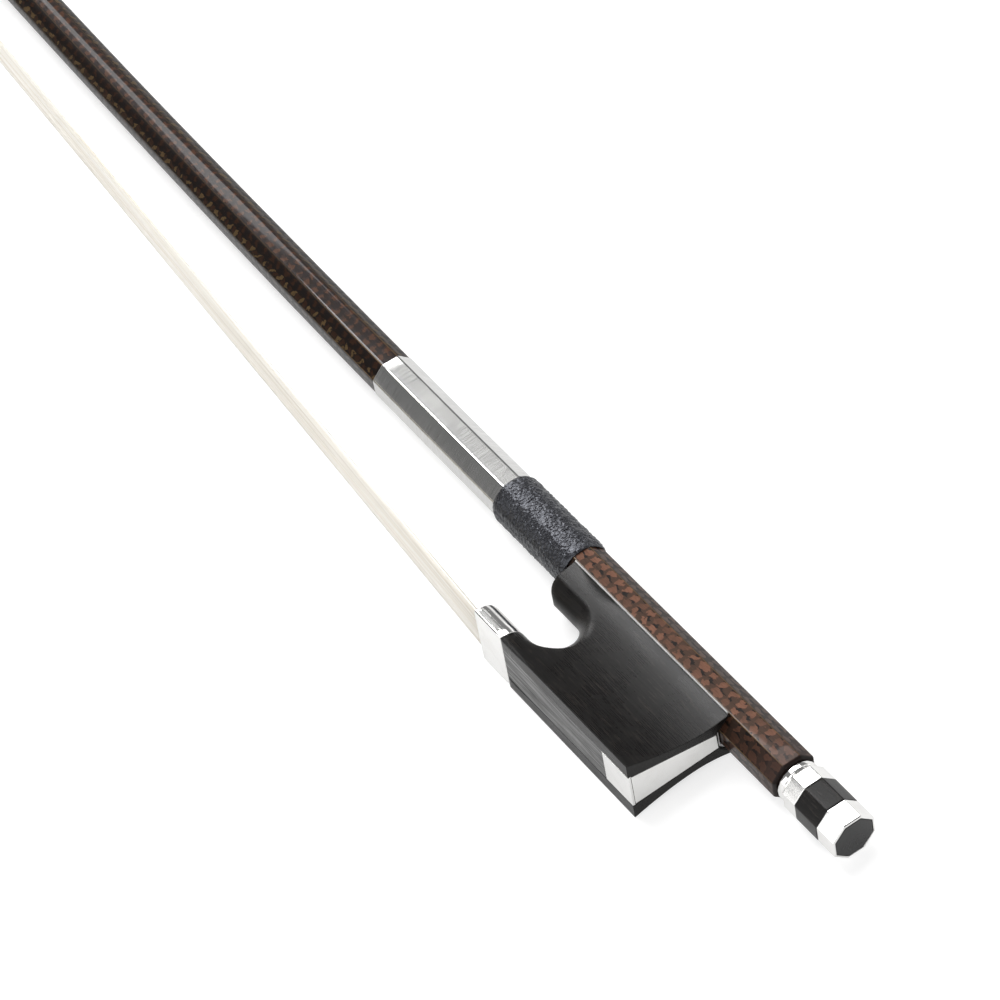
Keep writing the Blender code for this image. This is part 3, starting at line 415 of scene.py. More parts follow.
def carved(name, base, joins, cuts, sharp=30.0):
    """A piece with others joined to it and cut out of it. The tools are used up."""
    for tool, operation in [(tool, "UNION") for tool in joins] + [(tool, "DIFFERENCE") for tool in cuts]:
        step = base.modifiers.new(operation.lower(), "BOOLEAN")
        step.operation = operation
        step.solver = "EXACT"
        step.object = tool
    bpy.context.view_layer.update()
    graph = bpy.context.evaluated_depsgraph_get()
    mesh = bpy.data.meshes.new_from_object(base.evaluated_get(graph))
    mesh.name = name
    for old in [base, *joins, *cuts]:
        bpy.data.objects.remove(old)
    mesh.transform(BOW)
    return shown(mesh, name, sharp)


def outline_piece(name, stations, in_bow=False):
    """An outline of (y, z) carried along X. stations holds a place, or a function of y, and an outline."""
    sides = len(stations[0][1])

    def place(ring, side):
        station, points = stations[ring]
        y, z = points[side]
        return Vector((station(y) if callable(station) else station, y, z))

    def surface(ring, side):
        return millimetres(-place(ring, side).x), FACETS * side / sides

    return lofted(name, len(stations), sides, place, surface, in_bow=in_bow)


def block(name, low, high):
    """A plain cutter between two corners."""
    outline = [(low[1], low[2]), (high[1], low[2]), (high[1], high[2]), (low[1], high[2])]
    return outline_piece(name, [(low[0], outline), (high[0], outline)])


def rod(name, start, end, radius, sides=24):
    """A round cutter from start to end."""
    along = (end - start).normalized()
    across = along.orthogonal().normalized()
    other = along.cross(across)

    def place(ring, side):
        turn = 2 * pi * side / sides
        return (start, end)[ring] + (across * cos(turn) + other * sin(turn)) * radius

    return lofted(name, 2, sides, place, in_bow=False)


# Rounded octagon: each facet has four points across its flat and three round its corner

FACET_POINTS = [("flat", -1.0), ("flat", -1 / 3), ("flat", 1 / 3), ("flat", 1.0),
                ("corner", 0.25), ("corner", 0.5), ("corner", 0.75)]
OCTAGON_SIDES = FACETS * len(FACET_POINTS)


def octagon_point(side, flats, corner=FACET_ROUND, roundness=0.0):
    """One point of the section, as (y, z, turn): turn counts facets, and each facet's middle is whole."""
    facet, step = divmod(side, len(FACET_POINTS))
    kind, share = FACET_POINTS[step]
    face = flats / 2
    half = face * tan(HALF_FACET)
    flat_half = half - corner * tan(HALF_FACET)
    normal = 2 * HALF_FACET * facet
    if kind == "flat":
        out, sideways = face, share * flat_half
        turn = facet + 0.5 * share * flat_half / half
    else:
        angle = 2 * HALF_FACET * share
        out = face - corner + corner * cos(angle)
        sideways = flat_half + corner * sin(angle)
        border = 0.5 * flat_half / half
        turn = facet + mix(border, 1.0 - border, share)
    y = out * cos(normal) - sideways * sin(normal)
    z = out * sin(normal) + sideways * cos(normal)
    angle = atan2(z, y)
    return mix(y, face * cos(angle), roundness), mix(z, face * sin(angle), roundness), turn


def square_point(side, width):
    """The same count of points round a square, for the screw's tang."""
    y, z, turn = octagon_point(side, 1.0, 0.02, 1.0)
    reach = width / 2 / max(abs(y), abs(z))
    return y * reach, z * reach, turn


# The stick's axis and sections


def axis_place(distance):
    """Centre, direction to the head and direction away from the hair, at a distance from the butt."""
    turn = max(distance - HANDLE_LENGTH, 0.0) / CAMBER_RADIUS
    straight = min(distance, HANDLE_LENGTH)
    centre = Vector((-straight - CAMBER_RADIUS * sin(turn), CAMBER_RADIUS * (1 - cos(turn)), 0))
    return centre, Vector((-cos(turn), sin(turn), 0)), Vector((sin(turn), cos(turn), 0))


def stick_flats(distance):
    share = clamp(distance / SHAFT_LENGTH)
    return BUTT_FLATS - (BUTT_FLATS - TIP_DIAMETER) * share**TAPER_POWER


def stick_roundness(distance):
    share = clamp((distance - OCTAGON_LENGTH) / (ROUND_LENGTH - OCTAGON_LENGTH))
    return share * share * (3 - 2 * share)


def facet_round(distance):
    """The radius between two facets grows in front of the sleeve."""
    share = clamp((distance - SLEEVE_REAR) / (SLEEVE_FRONT - SLEEVE_REAR))
    return mix(FACET_ROUND, FACET_ROUND_FAR, share)


def section_point(distance, side, flats, corner=0.0, roundness=1.0):
    """A point of a section across the stick. It is round unless it's told otherwise."""
    centre, _, away = axis_place(distance)
    y, z, _ = octagon_point(side, flats, corner, roundness)
    return centre + away * y + Vector((0, 0, z))


class HeadFrame:
    """Origin on the hair's centre under the tip plate's rear edge."""

    def __init__(self):
        end, towards_head, away = axis_place(SHAFT_LENGTH)
        self.origin = end - away * HEAD_DROP + towards_head * HEAD_REACH
        self.along = (self.origin - Vector((-FERRULE_FRONT, -HAIR_MOUTH_DEPTH, 0))).normalized()
        self.up = Vector((self.along.y, -self.along.x, 0))

    def point(self, reach, rise, side=0.0):
        return self.origin + self.along * reach + self.up * rise + Vector((0, 0, side))


HEAD = HeadFrame()
PLATE_BOTTOM = HAIR_THICKNESS / 2 + PLATE_ABOVE_HAIR
PLATE_TOP = PLATE_BOTTOM + PLATE_THICKNESS
PLATE_LINING_BOTTOM = PLATE_TOP + SEAM
PLATE_LINING_TOP = PLATE_LINING_BOTTOM + PLATE_LINING_THICKNESS
HEAD_FACE = PLATE_LINING_TOP + SEAM


def bezier(points, share):
    a, b, c, d = points
    rest = 1 - share
    return a * rest**3 + b * (3 * rest**2 * share) + c * (3 * rest * share**2) + d * share**3


def head_point(share, side):
    """The head from the shaft (0) to its face (1), between its ridge and its throat."""
    end, towards_head, away = axis_place(SHAFT_LENGTH)
    radius = TIP_DIAMETER / 2
    ridge = (
        end + away * radius,
        end + away * radius + towards_head * RIDGE_START_HANDLE,
        HEAD.point(PLATE_LENGTH - RIDGE_END_LEAN, HEAD_FACE + RIDGE_END_HANDLE),
        HEAD.point(PLATE_LENGTH, HEAD_FACE),
    )
    throat = (
        end - away * radius,
        end - away * radius + towards_head * THROAT_START_HANDLE,
        HEAD.point(0, HEAD_FACE + THROAT_END_HANDLE),
        HEAD.point(0, HEAD_FACE),
    )
    front = bezier(ridge, share)
    back = bezier(throat, share)
    y, z, _ = octagon_point(side, 2.0, 0.0, 1.0)
    width = mix(radius, PLATE_HALF_WIDTH, share**HEAD_WAIST_POWER)
    power = mix(1.0, NOSE_SQUARENESS, share)
    if y < 0:
        power = mix(1.0, HEEL_SQUARENESS, share)
        y = -(abs(y) ** power)
    sideways = abs(z) ** power * (1 if z > 0 else -1)
    return (front + back) / 2 + (front - back) / 2 * y + Vector((0, 0, width * sideways))


def sleeve_recess():
    return SLEEVE_WALL + FIT - SLEEVE_PROUD


def make_stick():
    """One closed shell: from the hollow's blind end back to the butt, and outside it to the head."""
    recess = sleeve_recess()
    rings = []
    for i in range(BORE_RINGS + 1):
        distance = mix(HOLLOW_END, HOLLOW_START, i / BORE_RINGS)
        wall = SHAFT_WALL + (recess if distance < SLEEVE_FRONT else 0.0)
        rings.append((distance, "bore", stick_flats(distance) - 2 * wall))
    bores = [
        (HOLLOW_START, JOURNAL_BORE), (BORE_STEP, JOURNAL_BORE), (BORE_STEP, SCREW_BORE),
        (-NIPPLE_LENGTH, SCREW_BORE), (-NIPPLE_LENGTH, 2 * NIPPLE_RADIUS), (0.0, 2 * NIPPLE_RADIUS),
    ]
    rings += [(distance, "bore", diameter) for distance, diameter in bores]
    rings += [(BUTT_ROUND * along, "shaft", BUTT_ROUND * inward) for along, inward in quarter_round(8)]
    rings += [(distance * MILLIMETRE, "shaft", 0.0) for distance in REAR_RINGS]
    rear, front = SLEEVE_REAR - SEAM, SLEEVE_FRONT + SEAM
    steps = [(rear, 0.0), (rear, recess), (HANDLE_LENGTH, recess), (front, recess), (front, 0.0)]
    rings += [(distance, "shaft", inset) for distance, inset in steps]
    rings += [(distance * MILLIMETRE, "shaft", 0.0) for distance in FRONT_RINGS]
    rings.append((SHAFT_LENGTH, "shaft", 0.0))
    rings += [(SHAFT_LENGTH, "head", i / HEAD_RINGS) for i in range(1, HEAD_RINGS + 1)]

    def place(ring, side):
        distance, kind, value = rings[ring]
        if kind == "head":
            return head_point(value, side)
        if kind == "bore":
            return section_point(distance, side, value)
        flats = stick_flats(distance) - 2 * value
        return section_point(distance, side, flats, facet_round(distance), stick_roundness(distance))

    def surface(ring, side):
        distance, kind, value = rings[ring]
        length = distance + (value * PLATE_LENGTH if kind == "head" else 0.0)
        return millimetres(length), octagon_point(side, BUTT_FLATS, facet_round(distance))[2]

    shaft = lofted("stick_shell", len(rings), OCTAGON_SIDES, place, surface, in_bow=False)
    room = EYELET_LENGTH / 2 + MORTISE_GAP
    slot = block(
        "eyelet_slot",
        (-EYELET_PLACE - room - FROG_FORWARD_TRAVEL, -BUTT_FLATS, -EYELET_WIDTH / 2 - FIT),
        (-EYELET_PLACE + room + FROG_BACK_TRAVEL, EYELET_TOP + MORTISE_GAP, EYELET_WIDTH / 2 + FIT),
    )
    made = carved("carbon_stick", shaft, [], [slot, head_mortise()], sharp=32.0)
    set_up(made, "carbon_weave", "stick", "stick")


def head_mortise():
    """A cutter for the head's mortise and its way through the plates."""
    rises = (PLATE_BOTTOM - CUT_MARGIN, HEAD_FACE + HEAD_MORTISE_DEPTH)
    rear, front = HEAD_MORTISE_START, HEAD_MORTISE_START + HEAD_MORTISE_LENGTH
    half = HEAD_MORTISE_HALF_WIDTH
    corners = [(rear, -half), (front, -half), (front, half), (rear, half)]

    def place(ring, side):
        reach, sideways = corners[side]
        return HEAD.point(reach, rises[ring], sideways)

    return lofted("head_mortise", 2, len(corners), place, in_bow=False)


def make_plate(name, low, high, slot, node):
    """The head's outline between two levels, with its two rims rounded a little."""
    rim = (high - low) * PLATE_RIM_SHARE
    middle = HEAD.point(PLATE_LENGTH / 2, HEAD_FACE)
    levels = [(low, rim), (low + rim, 0.0), (high - rim / 4, 0.0), (high, rim / 4)]

    def place(ring, side):
        level, inset = levels[ring]
        point = head_point(1.0, side)
        point -= (point - middle).normalized() * inset
        return point + HEAD.up * (level - HEAD_FACE)

    def surface(ring, side):
        return millimetres(levels[ring][0]), octagon_point(side, 1.0, 0.02)[2]

    blank = lofted(f"{name}_blank", len(levels), OCTAGON_SIDES, place, surface, in_bow=False)
    set_up(carved(name, blank, [], [head_mortise()]), slot, "stick", node)


# Grip


def make_sleeve():
    """The thin metal tube, with its two rims turned over."""
    rim = SLEEVE_WALL / 2
    edge = [(rim * back, rim * drop * SLEEVE_EDGE_DROP - SLEEVE_PROUD) for drop, back in quarter_round(4)]
    rear, front = SLEEVE_REAR + rim, SLEEVE_FRONT - rim
    rings = [(SLEEVE_REAR + back, inset) for back, inset in reversed(edge)]
    rings += [(mix(rear, front, i / SLEEVE_RINGS), -SLEEVE_PROUD) for i in range(1, SLEEVE_RINGS + 1)]
    rings += [(SLEEVE_FRONT - back, inset) for back, inset in edge[1:]]
    inner = SLEEVE_WALL - SLEEVE_PROUD
    rings += [(distance, inner) for distance in (SLEEVE_FRONT, HANDLE_LENGTH, SLEEVE_REAR)]

    def place(ring, side):
        distance, inset = rings[ring]
        return section_point(distance, side, stick_flats(distance) - 2 * inset, SLEEVE_ROUND, 0.0)

    def surface(ring, side):
        return millimetres(rings[ring][0]), octagon_point(side, BUTT_FLATS, SLEEVE_ROUND)[2]

    tube = lofted("metal_sleeve_tube", len(rings), OCTAGON_SIDES, place, surface, loop=True)
    set_up(tube, "brushed_sleeve", "stick", "metal_sleeve")


def pebble(along, around):
    """Height of the leather's grain, 0 in the creases and 1 on the pebbles."""
    spot = Vector((along / PEBBLE_LENGTH, around / PEBBLE_WIDTH, 0.0))
    drift = noise.noise_vector(spot * 0.45)
    distances, _ = noise.voronoi(spot + drift * 0.7)
    crease = min((distances[1] - distances[0]) * 1.9, 1.0)
    return crease * (2 - crease) * (0.8 + 0.4 * noise.noise(spot * 0.9))


def make_leather():
    """The pebbled wrap. The noise takes its seed from the clock unless it's given one."""
    noise.seed_set(PEBBLE_SEED)
    bore = SLEEVE_PROUD + FIT / 2
    edge = [
        (LEATHER_EDGE * inward, LEATHER_WALL * mix(LEATHER_END_HEIGHT, 1.0, 1 - low))
        for inward, low in quarter_round(8)
    ]
    rear, front = LEATHER_REAR + LEATHER_EDGE, LEATHER_FRONT - LEATHER_EDGE
    outer = [(LEATHER_REAR + inward, height) for inward, height in edge]
    outer += [(mix(rear, front, i / LEATHER_RINGS), LEATHER_WALL) for i in range(1, LEATHER_RINGS)]
    outer += [(LEATHER_FRONT - inward, height) for inward, height in reversed(edge)]
    rings = outer + [(LEATHER_FRONT, 0.0), (LEATHER_REAR, 0.0)]
    circumference = pi * BUTT_FLATS

    def place(ring, side):
        distance, height = rings[ring]
        centre, _, away = axis_place(distance)
        share = side / LEATHER_SIDES
        angle = 2 * pi * share
        face = stick_flats(distance) / 2 + bore
        from_facet = (angle + HALF_FACET) % (2 * HALF_FACET) - HALF_FACET
        radius = face / cos(from_facet)
        if ring < len(outer):
            radius = mix((face + height) / cos(from_facet), face + height, LEATHER_ROUNDNESS)
            fold = circumference * share
            grain = mix(pebble(distance, fold), pebble(distance, fold - circumference), share**3)
            radius -= PEBBLE_HEIGHT * (1.0 - clamp(grain)) * clamp(height / LEATHER_WALL)
        return centre + away * (radius * cos(angle)) + Vector((0, 0, radius * sin(angle)))

    def surface(ring, side):
        return millimetres(rings[ring][0]), FACETS * side / LEATHER_SIDES

    wrap = lofted("leather_wrap", len(rings), LEATHER_SIDES, place, surface, loop=True, sharp=70.0)
    set_up(wrap, "black_leather", "stick", "leather_grip")


# Button


def make_turned(name, rings, slot, node, loop=True, look=None):
    """A piece round the screw's axis. Each ring is (x, width, kind)."""

    def section(ring, side):
        _, width, kind = rings[ring]
        if kind == "round":
            return octagon_point(side, width, 0.0, 1.0)
        if kind == "square":
            return square_point(side, width)
        return octagon_point(side, width, BUTTON_ROUND)

    def place(ring, side):
        y, z, _ = section(ring, side)
        return Vector((rings[ring][0], y, z))

    def surface(ring, side):
        return millimetres(rings[ring][0]), section(ring, side)[2]

    made = lofted(name, len(rings), OCTAGON_SIDES, place, surface, loop, sharp=28.0)
    set_up(made, slot, "button", node, look)


def make_button():
    recess = 2 * (NIPPLE_RADIUS + BORE_CLEARANCE)
    recess_end = NIPPLE_LENGTH + BORE_CLEARANCE
    web_end = recess_end + WEB_THICKNESS
    tang_hole = TANG_SIDE + 2 * FIT
    seat = BUTTON_FLATS - 2 * RING_WALL
    tenon = seat - 2 * FIT
    rim = BUTTON_RIM
    eased = BUTTON_FLATS - 2 * rim
    collar = 2 * COLLAR_RADIUS
    groove = COLLAR_LENGTH - COLLAR_GROOVE_LENGTH
    make_turned("button_collar_ring", [
        *((BUTTON_GAP + COLLAR_EDGE * along, collar - 2 * COLLAR_EDGE_DEPTH * low, "round")
          for along, low in quarter_round(5)),
        (groove - rim, collar, "round"),
        (groove, collar - rim, "round"),
        (COLLAR_LENGTH - COLLAR_EDGE_DEPTH, collar - 2 * COLLAR_GROOVE_DEPTH, "round"),
        (COLLAR_LENGTH, BUTTON_FLATS - 2 * COLLAR_EDGE, "flat"),
        (COLLAR_LENGTH + COLLAR_EDGE * 0.4, BUTTON_FLATS - 1.2 * COLLAR_EDGE + rim, "flat"),
        (COLLAR_LENGTH + COLLAR_EDGE, BUTTON_FLATS, "flat"),
        (FRONT_BAND_END - rim, BUTTON_FLATS, "flat"),
        (FRONT_BAND_END, eased, "flat"),
        (FRONT_BAND_END, seat, "flat"),
        (web_end, seat, "flat"),
        (web_end, tang_hole, "square"),
        (recess_end, tang_hole, "square"),
        (recess_end, recess, "round"),
        (BUTTON_GAP, recess, "round"),
    ], "polished_silver", "button_front_ring")
    core_front = FRONT_BAND_END + SEAM
    core_rear = CORE_BAND_END - SEAM
    eye_back = BUTTON_END - EYE_THICKNESS - SEAM
    make_turned("button_core_band", [
        (web_end + SEAM, tang_hole, "square"),
        (web_end + SEAM, tenon, "flat"),
        (core_front, tenon, "flat"),
        (core_front, eased, "flat"),
        (core_front + rim, BUTTON_FLATS, "flat"),
        (core_rear - rim, BUTTON_FLATS, "flat"),
        (core_rear, eased, "flat"),
        (core_rear, tenon, "flat"),
        (eye_back - SEAM, tenon, "flat"),
        (eye_back - SEAM, tang_hole, "square"),
    ], "ebony", "button_core", look="button_ebony")
    eye_flats = BUTTON_FLATS - 2 * END_BEVEL - 2 * EYE_RIM
    eye_hole = eye_flats + 2 * SEAM
    make_turned("button_end_ring", [
        (eye_back, seat, "flat"),
        (CORE_BAND_END, seat, "flat"),
        (CORE_BAND_END, eased, "flat"),
        (CORE_BAND_END + rim, BUTTON_FLATS, "flat"),
        *((BUTTON_END - END_BEVEL * back, BUTTON_FLATS - 2 * END_BEVEL * low, "flat")
          for low, back in quarter_round(4)),
        (BUTTON_END, eye_hole + rim, "flat"),
        (BUTTON_END - rim, eye_hole, "flat"),
        (eye_back + SEAM, eye_hole, "flat"),
    ], "polished_silver", "button_rear_ring")
    make_turned("button_end_eye", [
        (eye_back + SEAM, eye_flats, "flat"),
        (BUTTON_END - rim, eye_flats, "flat"),
        (BUTTON_END, eye_flats - 2 * rim, "flat"),
    ], "black_eye", "button_eye", loop=False)


# Frog


def cheek_half_width(depth, bottom_half_width):
    """Half the frog's width at a depth below the stick's axis: the cheeks are hollowed."""
    if depth > CHEEK_WAIST_DEPTH:
        share = (depth - CHEEK_WAIST_DEPTH) / (FROG_DEPTH - CHEEK_WAIST_DEPTH)
        return mix(CHEEK_WAIST_HALF_WIDTH, bottom_half_width, share**CHEEK_POWER)
    share = (CHEEK_WAIST_DEPTH - depth) / (CHEEK_WAIST_DEPTH - CHEEK_TOP_DEPTH)
    return mix(CHEEK_WAIST_HALF_WIDTH, CHEEK_TOP_HALF_WIDTH, share**2)


def bed_distance(gap):
    return BUTT_FLATS / 2 + RUNNING_GAP + gap


def bed_outline(distance, top_depth):
    """The three lower facets of the octagon at a distance, from +Z to -Z, as (y, z)."""
    corner = distance * tan(HALF_FACET)
    edge = distance * sqrt(2) - top_depth
    return [(-top_depth, edge), (-distance, corner), (-distance, -corner), (-top_depth, -edge)]


def frog_outline(bottom_half_width, top=CHEEK_TOP_DEPTH, bottom=FROG_DEPTH):
    rows = 40
    cheek = []
    for i in range(rows + 1):
        depth = mix(bottom, top, i / rows)
        cheek.append((-depth, cheek_half_width(depth, bottom_half_width)))
    bed = bed_outline(bed_distance(LINING_THICKNESS + SEAM), CHEEK_TOP_DEPTH)
    return cheek + bed + [(y, -z) for y, z in reversed(cheek)]


def heel_x(y):
    return -FROG_HEEL + HEEL_LEAN * (y + FROG_DEPTH) / FROG_DEPTH


def ferrule_outline(inset, bottom=FROG_DEPTH, foot_round=0.0):
    """A D on its flat side: flat bottom, leaning shoulders and an arch, as (y, z)."""
    steps = 48
    shoulder = FERRULE_SHOULDER_HALF_WIDTH - inset
    rise = FERRULE_SHOULDER_DEPTH - FERRULE_ARCH_DEPTH - inset
    below_shoulder = bottom > FERRULE_SHOULDER_DEPTH
    first_angle = 0.0 if below_shoulder else asin((FERRULE_SHOULDER_DEPTH - bottom) / rise)
    arch = []
    for i in range(steps + 1):
        angle = mix(first_angle, pi - first_angle, i / steps)
        arch.append((-FERRULE_SHOULDER_DEPTH + rise * sin(angle), shoulder * cos(angle)))
    if not below_shoulder:
        return arch
    foot = bottom - inset
    lean = (FERRULE_HALF_WIDTH - FERRULE_SHOULDER_HALF_WIDTH) / (FROG_DEPTH - FERRULE_SHOULDER_DEPTH)
    half = shoulder + lean * (foot - FERRULE_SHOULDER_DEPTH)
    corner = [(-foot + foot_round * up, half - foot_round * inward) for up, inward in quarter_round(5)]
    return corner + arch + [(y, -z) for y, z in reversed(corner)]


def arch_depth(side):
    share = min(abs(side) / FERRULE_SHOULDER_HALF_WIDTH, 1.0)
    return FERRULE_SHOULDER_DEPTH - (FERRULE_SHOULDER_DEPTH - FERRULE_ARCH_DEPTH) * sqrt(1 - share**2)


def throat_section(side):
    """The thumb recess at a distance from the middle plane: a U that widens to the cheeks."""
    share = min(abs(side) / THROAT_FLARE_HALF_WIDTH, 1.0)
    flare = THROAT_FLARE * share**THROAT_FLARE_POWER
    top = -THROAT_TOP_DEPTH + flare
    bottom = -arch_depth(side)
    reach = THROAT_CENTRE - THROAT_REAR + flare
    middle = (top + bottom) / 2
    half = (top - bottom) / 2
    steps = 32
    front = -FERRULE_FRONT - 2 * CUT_MARGIN
    points = [Vector((front, top, side))]
    for i in range(steps + 1):
        angle = pi / 2 - pi * i / steps
        points.append(Vector((-THROAT_CENTRE + reach * cos(angle), middle + half * sin(angle), side)))
    points.append(Vector((front, bottom, side)))
    return points


def throat_cutter():
    steps = 28
    reach = CHEEK_HEEL_HALF_WIDTH + CUT_MARGIN
    sides = [-reach]
    sides += [FERRULE_SHOULDER_HALF_WIDTH * sin(pi / 2 * i / steps) for i in range(-steps, steps + 1)]
    sides.append(reach)
    sections = [throat_section(side) for side in sides]

    def place(ring, side):
        return sections[ring][side]

    return lofted("throat_cutter", len(sections), len(sections[0]), place, in_bow=False)


def slide_half_width(x):
    share = (-x - FROG_HEEL) / (FERRULE_REAR - FROG_HEEL)
    return mix(SLIDE_HEEL_HALF_WIDTH, SLIDE_FRONT_HALF_WIDTH, share)


def slide_outline(x, low, high, inset):
    """A dovetail bar across the underside at x, between two depths, as (y, z)."""
    narrow = slide_half_width(x) - inset
    spread = DOVETAIL_SPREAD / SLIDE_SLOT_DEPTH
    wide_low = narrow + spread * (FROG_DEPTH - low)
    wide_high = narrow + spread * (FROG_DEPTH - high)
    return [(-low, wide_low), (-high, wide_high), (-high, -wide_high), (-low, -wide_low)]


def slide_bar(name, front, rear, low, high, inset, in_bow=False):
    ends = [(x, slide_outline(x, low, high, inset)) for x in (front, rear)]
    return outline_piece(name, ends, in_bow)


def back_plate(name, foot_depth, inset, outward, in_bow=False):
    """The metal tongue up the heel. outward pushes its outer face past the wood."""
    bottom = SLIDE_HEEL_HALF_WIDTH - inset
    top = BACK_PLATE_TOP_HALF_WIDTH - inset
    head_depth = BACK_PLATE_TOP_DEPTH + inset
    foot_half = mix(top, bottom, (foot_depth - BACK_PLATE_TOP_DEPTH) / (FROG_DEPTH - BACK_PLATE_TOP_DEPTH))
    corners = [(-foot_depth, foot_half), (-head_depth, top), (-head_depth, -top), (-foot_depth, -foot_half)]
    behind = HEEL_PLATE_THICKNESS + SEAM - inset
    ends = [(lambda y: heel_x(y) - behind, corners), (lambda y: heel_x(y) + outward, corners)]
    return outline_piece(name, ends, in_bow)


def make_frog():
    lower_front = -FERRULE_REAR + SEAM
    front = frog_outline(CHEEK_FRONT_HALF_WIDTH)
    rear = frog_outline(CHEEK_HEEL_HALF_WIDTH)
    stations = [(lower_front, front)]
    count = 14
    for i in range(1, count):
        share = i / count
        points = [(a[0], mix(a[1], b[1], share)) for a, b in zip(front, rear)]
        stations.append((mix(lower_front, -FROG_HEEL, share), points))
    stations.append((heel_x, rear))
    body = outline_piece("frog_body", stations)
    nose = TONGUE_NOSE_RADIUS
    tongue = frog_outline(CHEEK_FRONT_HALF_WIDTH, bottom=THROAT_TOP_DEPTH + CUT_MARGIN)

    def tongue_front(y):
        depth_past = max(-y - (THROAT_TOP_DEPTH - nose), 0.0)
        reach = min(depth_past / nose, 1.0)
        return -FROG_FRONT + nose * (1 - sqrt(1 - reach**2))

    tongue_rear = -FERRULE_REAR + CUT_MARGIN
    tenon = ferrule_outline(FERRULE_WALL + SEAM, TENON_DEPTH)
    joins = [
        outline_piece("frog_tongue", [(tongue_front, tongue), (tongue_rear, tongue)]),
        outline_piece("ferrule_tenon", [(-FERRULE_FRONT + TENON_SETBACK, tenon), (tongue_rear, tenon)]),
    ]
    deep = FROG_DEPTH + CUT_MARGIN
    channel_top = HAIR_CHANNEL_DEPTH - HAIR_THICKNESS / 2 - BORE_CLEARANCE
    cuts = [
        throat_cutter(),
        slide_bar("slide_slot", -FERRULE_REAR - CUT_MARGIN, -HEEL_PLATE_FRONT, deep,
                  FROG_DEPTH - SLIDE_SLOT_DEPTH, 0.0),
        slide_bar("heel_recess", -HEEL_PLATE_FRONT - CUT_MARGIN, -FROG_HEEL + CUT_MARGIN, deep,
                  FROG_DEPTH - HEEL_PLATE_THICKNESS - SEAM, -SEAM),
        block("hair_channel",
              (-FERRULE_REAR - CUT_MARGIN, -deep, -HAIR_FROG_HALF_WIDTH - BORE_CLEARANCE),
              (-FROG_MORTISE_REAR, -channel_top, HAIR_FROG_HALF_WIDTH + BORE_CLEARANCE)),
        block("frog_mortise",
              (-FROG_MORTISE_FRONT, -deep, -FROG_MORTISE_HALF_WIDTH),
              (-FROG_MORTISE_REAR, -FROG_MORTISE_DEPTH, FROG_MORTISE_HALF_WIDTH)),
        back_plate("back_plate_recess", deep, 0.0, CUT_MARGIN),
        shank_hole(),
    ]
    for place in LINING_SCREW_PLACES:
        top = Vector((-place, -bed_distance(0.0) - SEAM + CUT_MARGIN, 0))
        tip = Vector((-place, -bed_distance(0.0) - SEAM - LINING_SCREW_LENGTH - FIT, 0))
        cuts.append(rod("screw_hole", top, tip, LINING_SCREW_RADIUS + FIT))
    set_up(carved("ebony_frog", body, joins, cuts), "ebony", "frog", "frog_block")


def shank_hole():
    return rod("shank_hole", Vector((-EYELET_PLACE, CUT_MARGIN, 0)),
               Vector((-EYELET_PLACE, -EYELET_SHANK_END - FIT, 0)), EYELET_SHANK_RADIUS + FIT)


def make_lining():
    inner = bed_outline(bed_distance(0.0), LINING_TOP_DEPTH - LINING_THICKNESS / 2)
    outer = bed_outline(bed_distance(LINING_THICKNESS), LINING_TOP_DEPTH)
    outline = inner + outer[::-1]
    rear = -LINING_REAR - LINING_END_INSET
    body = outline_piece("lining_strip", [(-LINING_FRONT, outline), (rear, outline)])
    cuts = [shank_hole()]
    for place in LINING_SCREW_PLACES:
        top = Vector((-place, CUT_MARGIN - bed_distance(0.0), 0))
        bottom = Vector((-place, -CUT_MARGIN - bed_distance(LINING_THICKNESS), 0))
        cuts.append(rod("screw_seat", top, bottom, LINING_SCREW_HEAD_RADIUS + FIT))
    made = carved("bed_lining", body, [], cuts)
    set_up(made, "polished_silver", "frog", "underslide_lining", look="satin_silver")


def make_ferrule():
    """A bent ring with its two lips rounded."""
    lip = [(FERRULE_LIP * inward, FERRULE_LIP * inset) for inset, inward in reversed(quarter_round(4))]
    front, rear = FERRULE_LIP - FERRULE_FRONT, -FERRULE_REAR - FERRULE_LIP
    rings = [(inward - FERRULE_FRONT, inset) for inward, inset in lip]
    rings += [(mix(front, rear, i / FERRULE_RINGS), 0.0) for i in range(1, FERRULE_RINGS)]
    rings += [(-FERRULE_REAR - inward, inset) for inward, inset in lip]
    rings += [(-FERRULE_REAR, FERRULE_WALL), (-FERRULE_FRONT, FERRULE_WALL)]
    outlines = [
        ferrule_outline(inset, foot_round=max(FERRULE_FOOT_ROUND - inset, SEAM)) for _, inset in rings
    ]
    sides = len(outlines[0])

    def place(ring, side):
        y, z = outlines[ring][side]
        return Vector((rings[ring][0], y, z))

    def surface(ring, side):
        return millimetres(-rings[ring][0]), FACETS * side / sides

    made = lofted("hair_ferrule", len(rings), sides, place, surface, loop=True, sharp=35.0)
    set_up(made, "polished_silver", "frog", "ferrule")


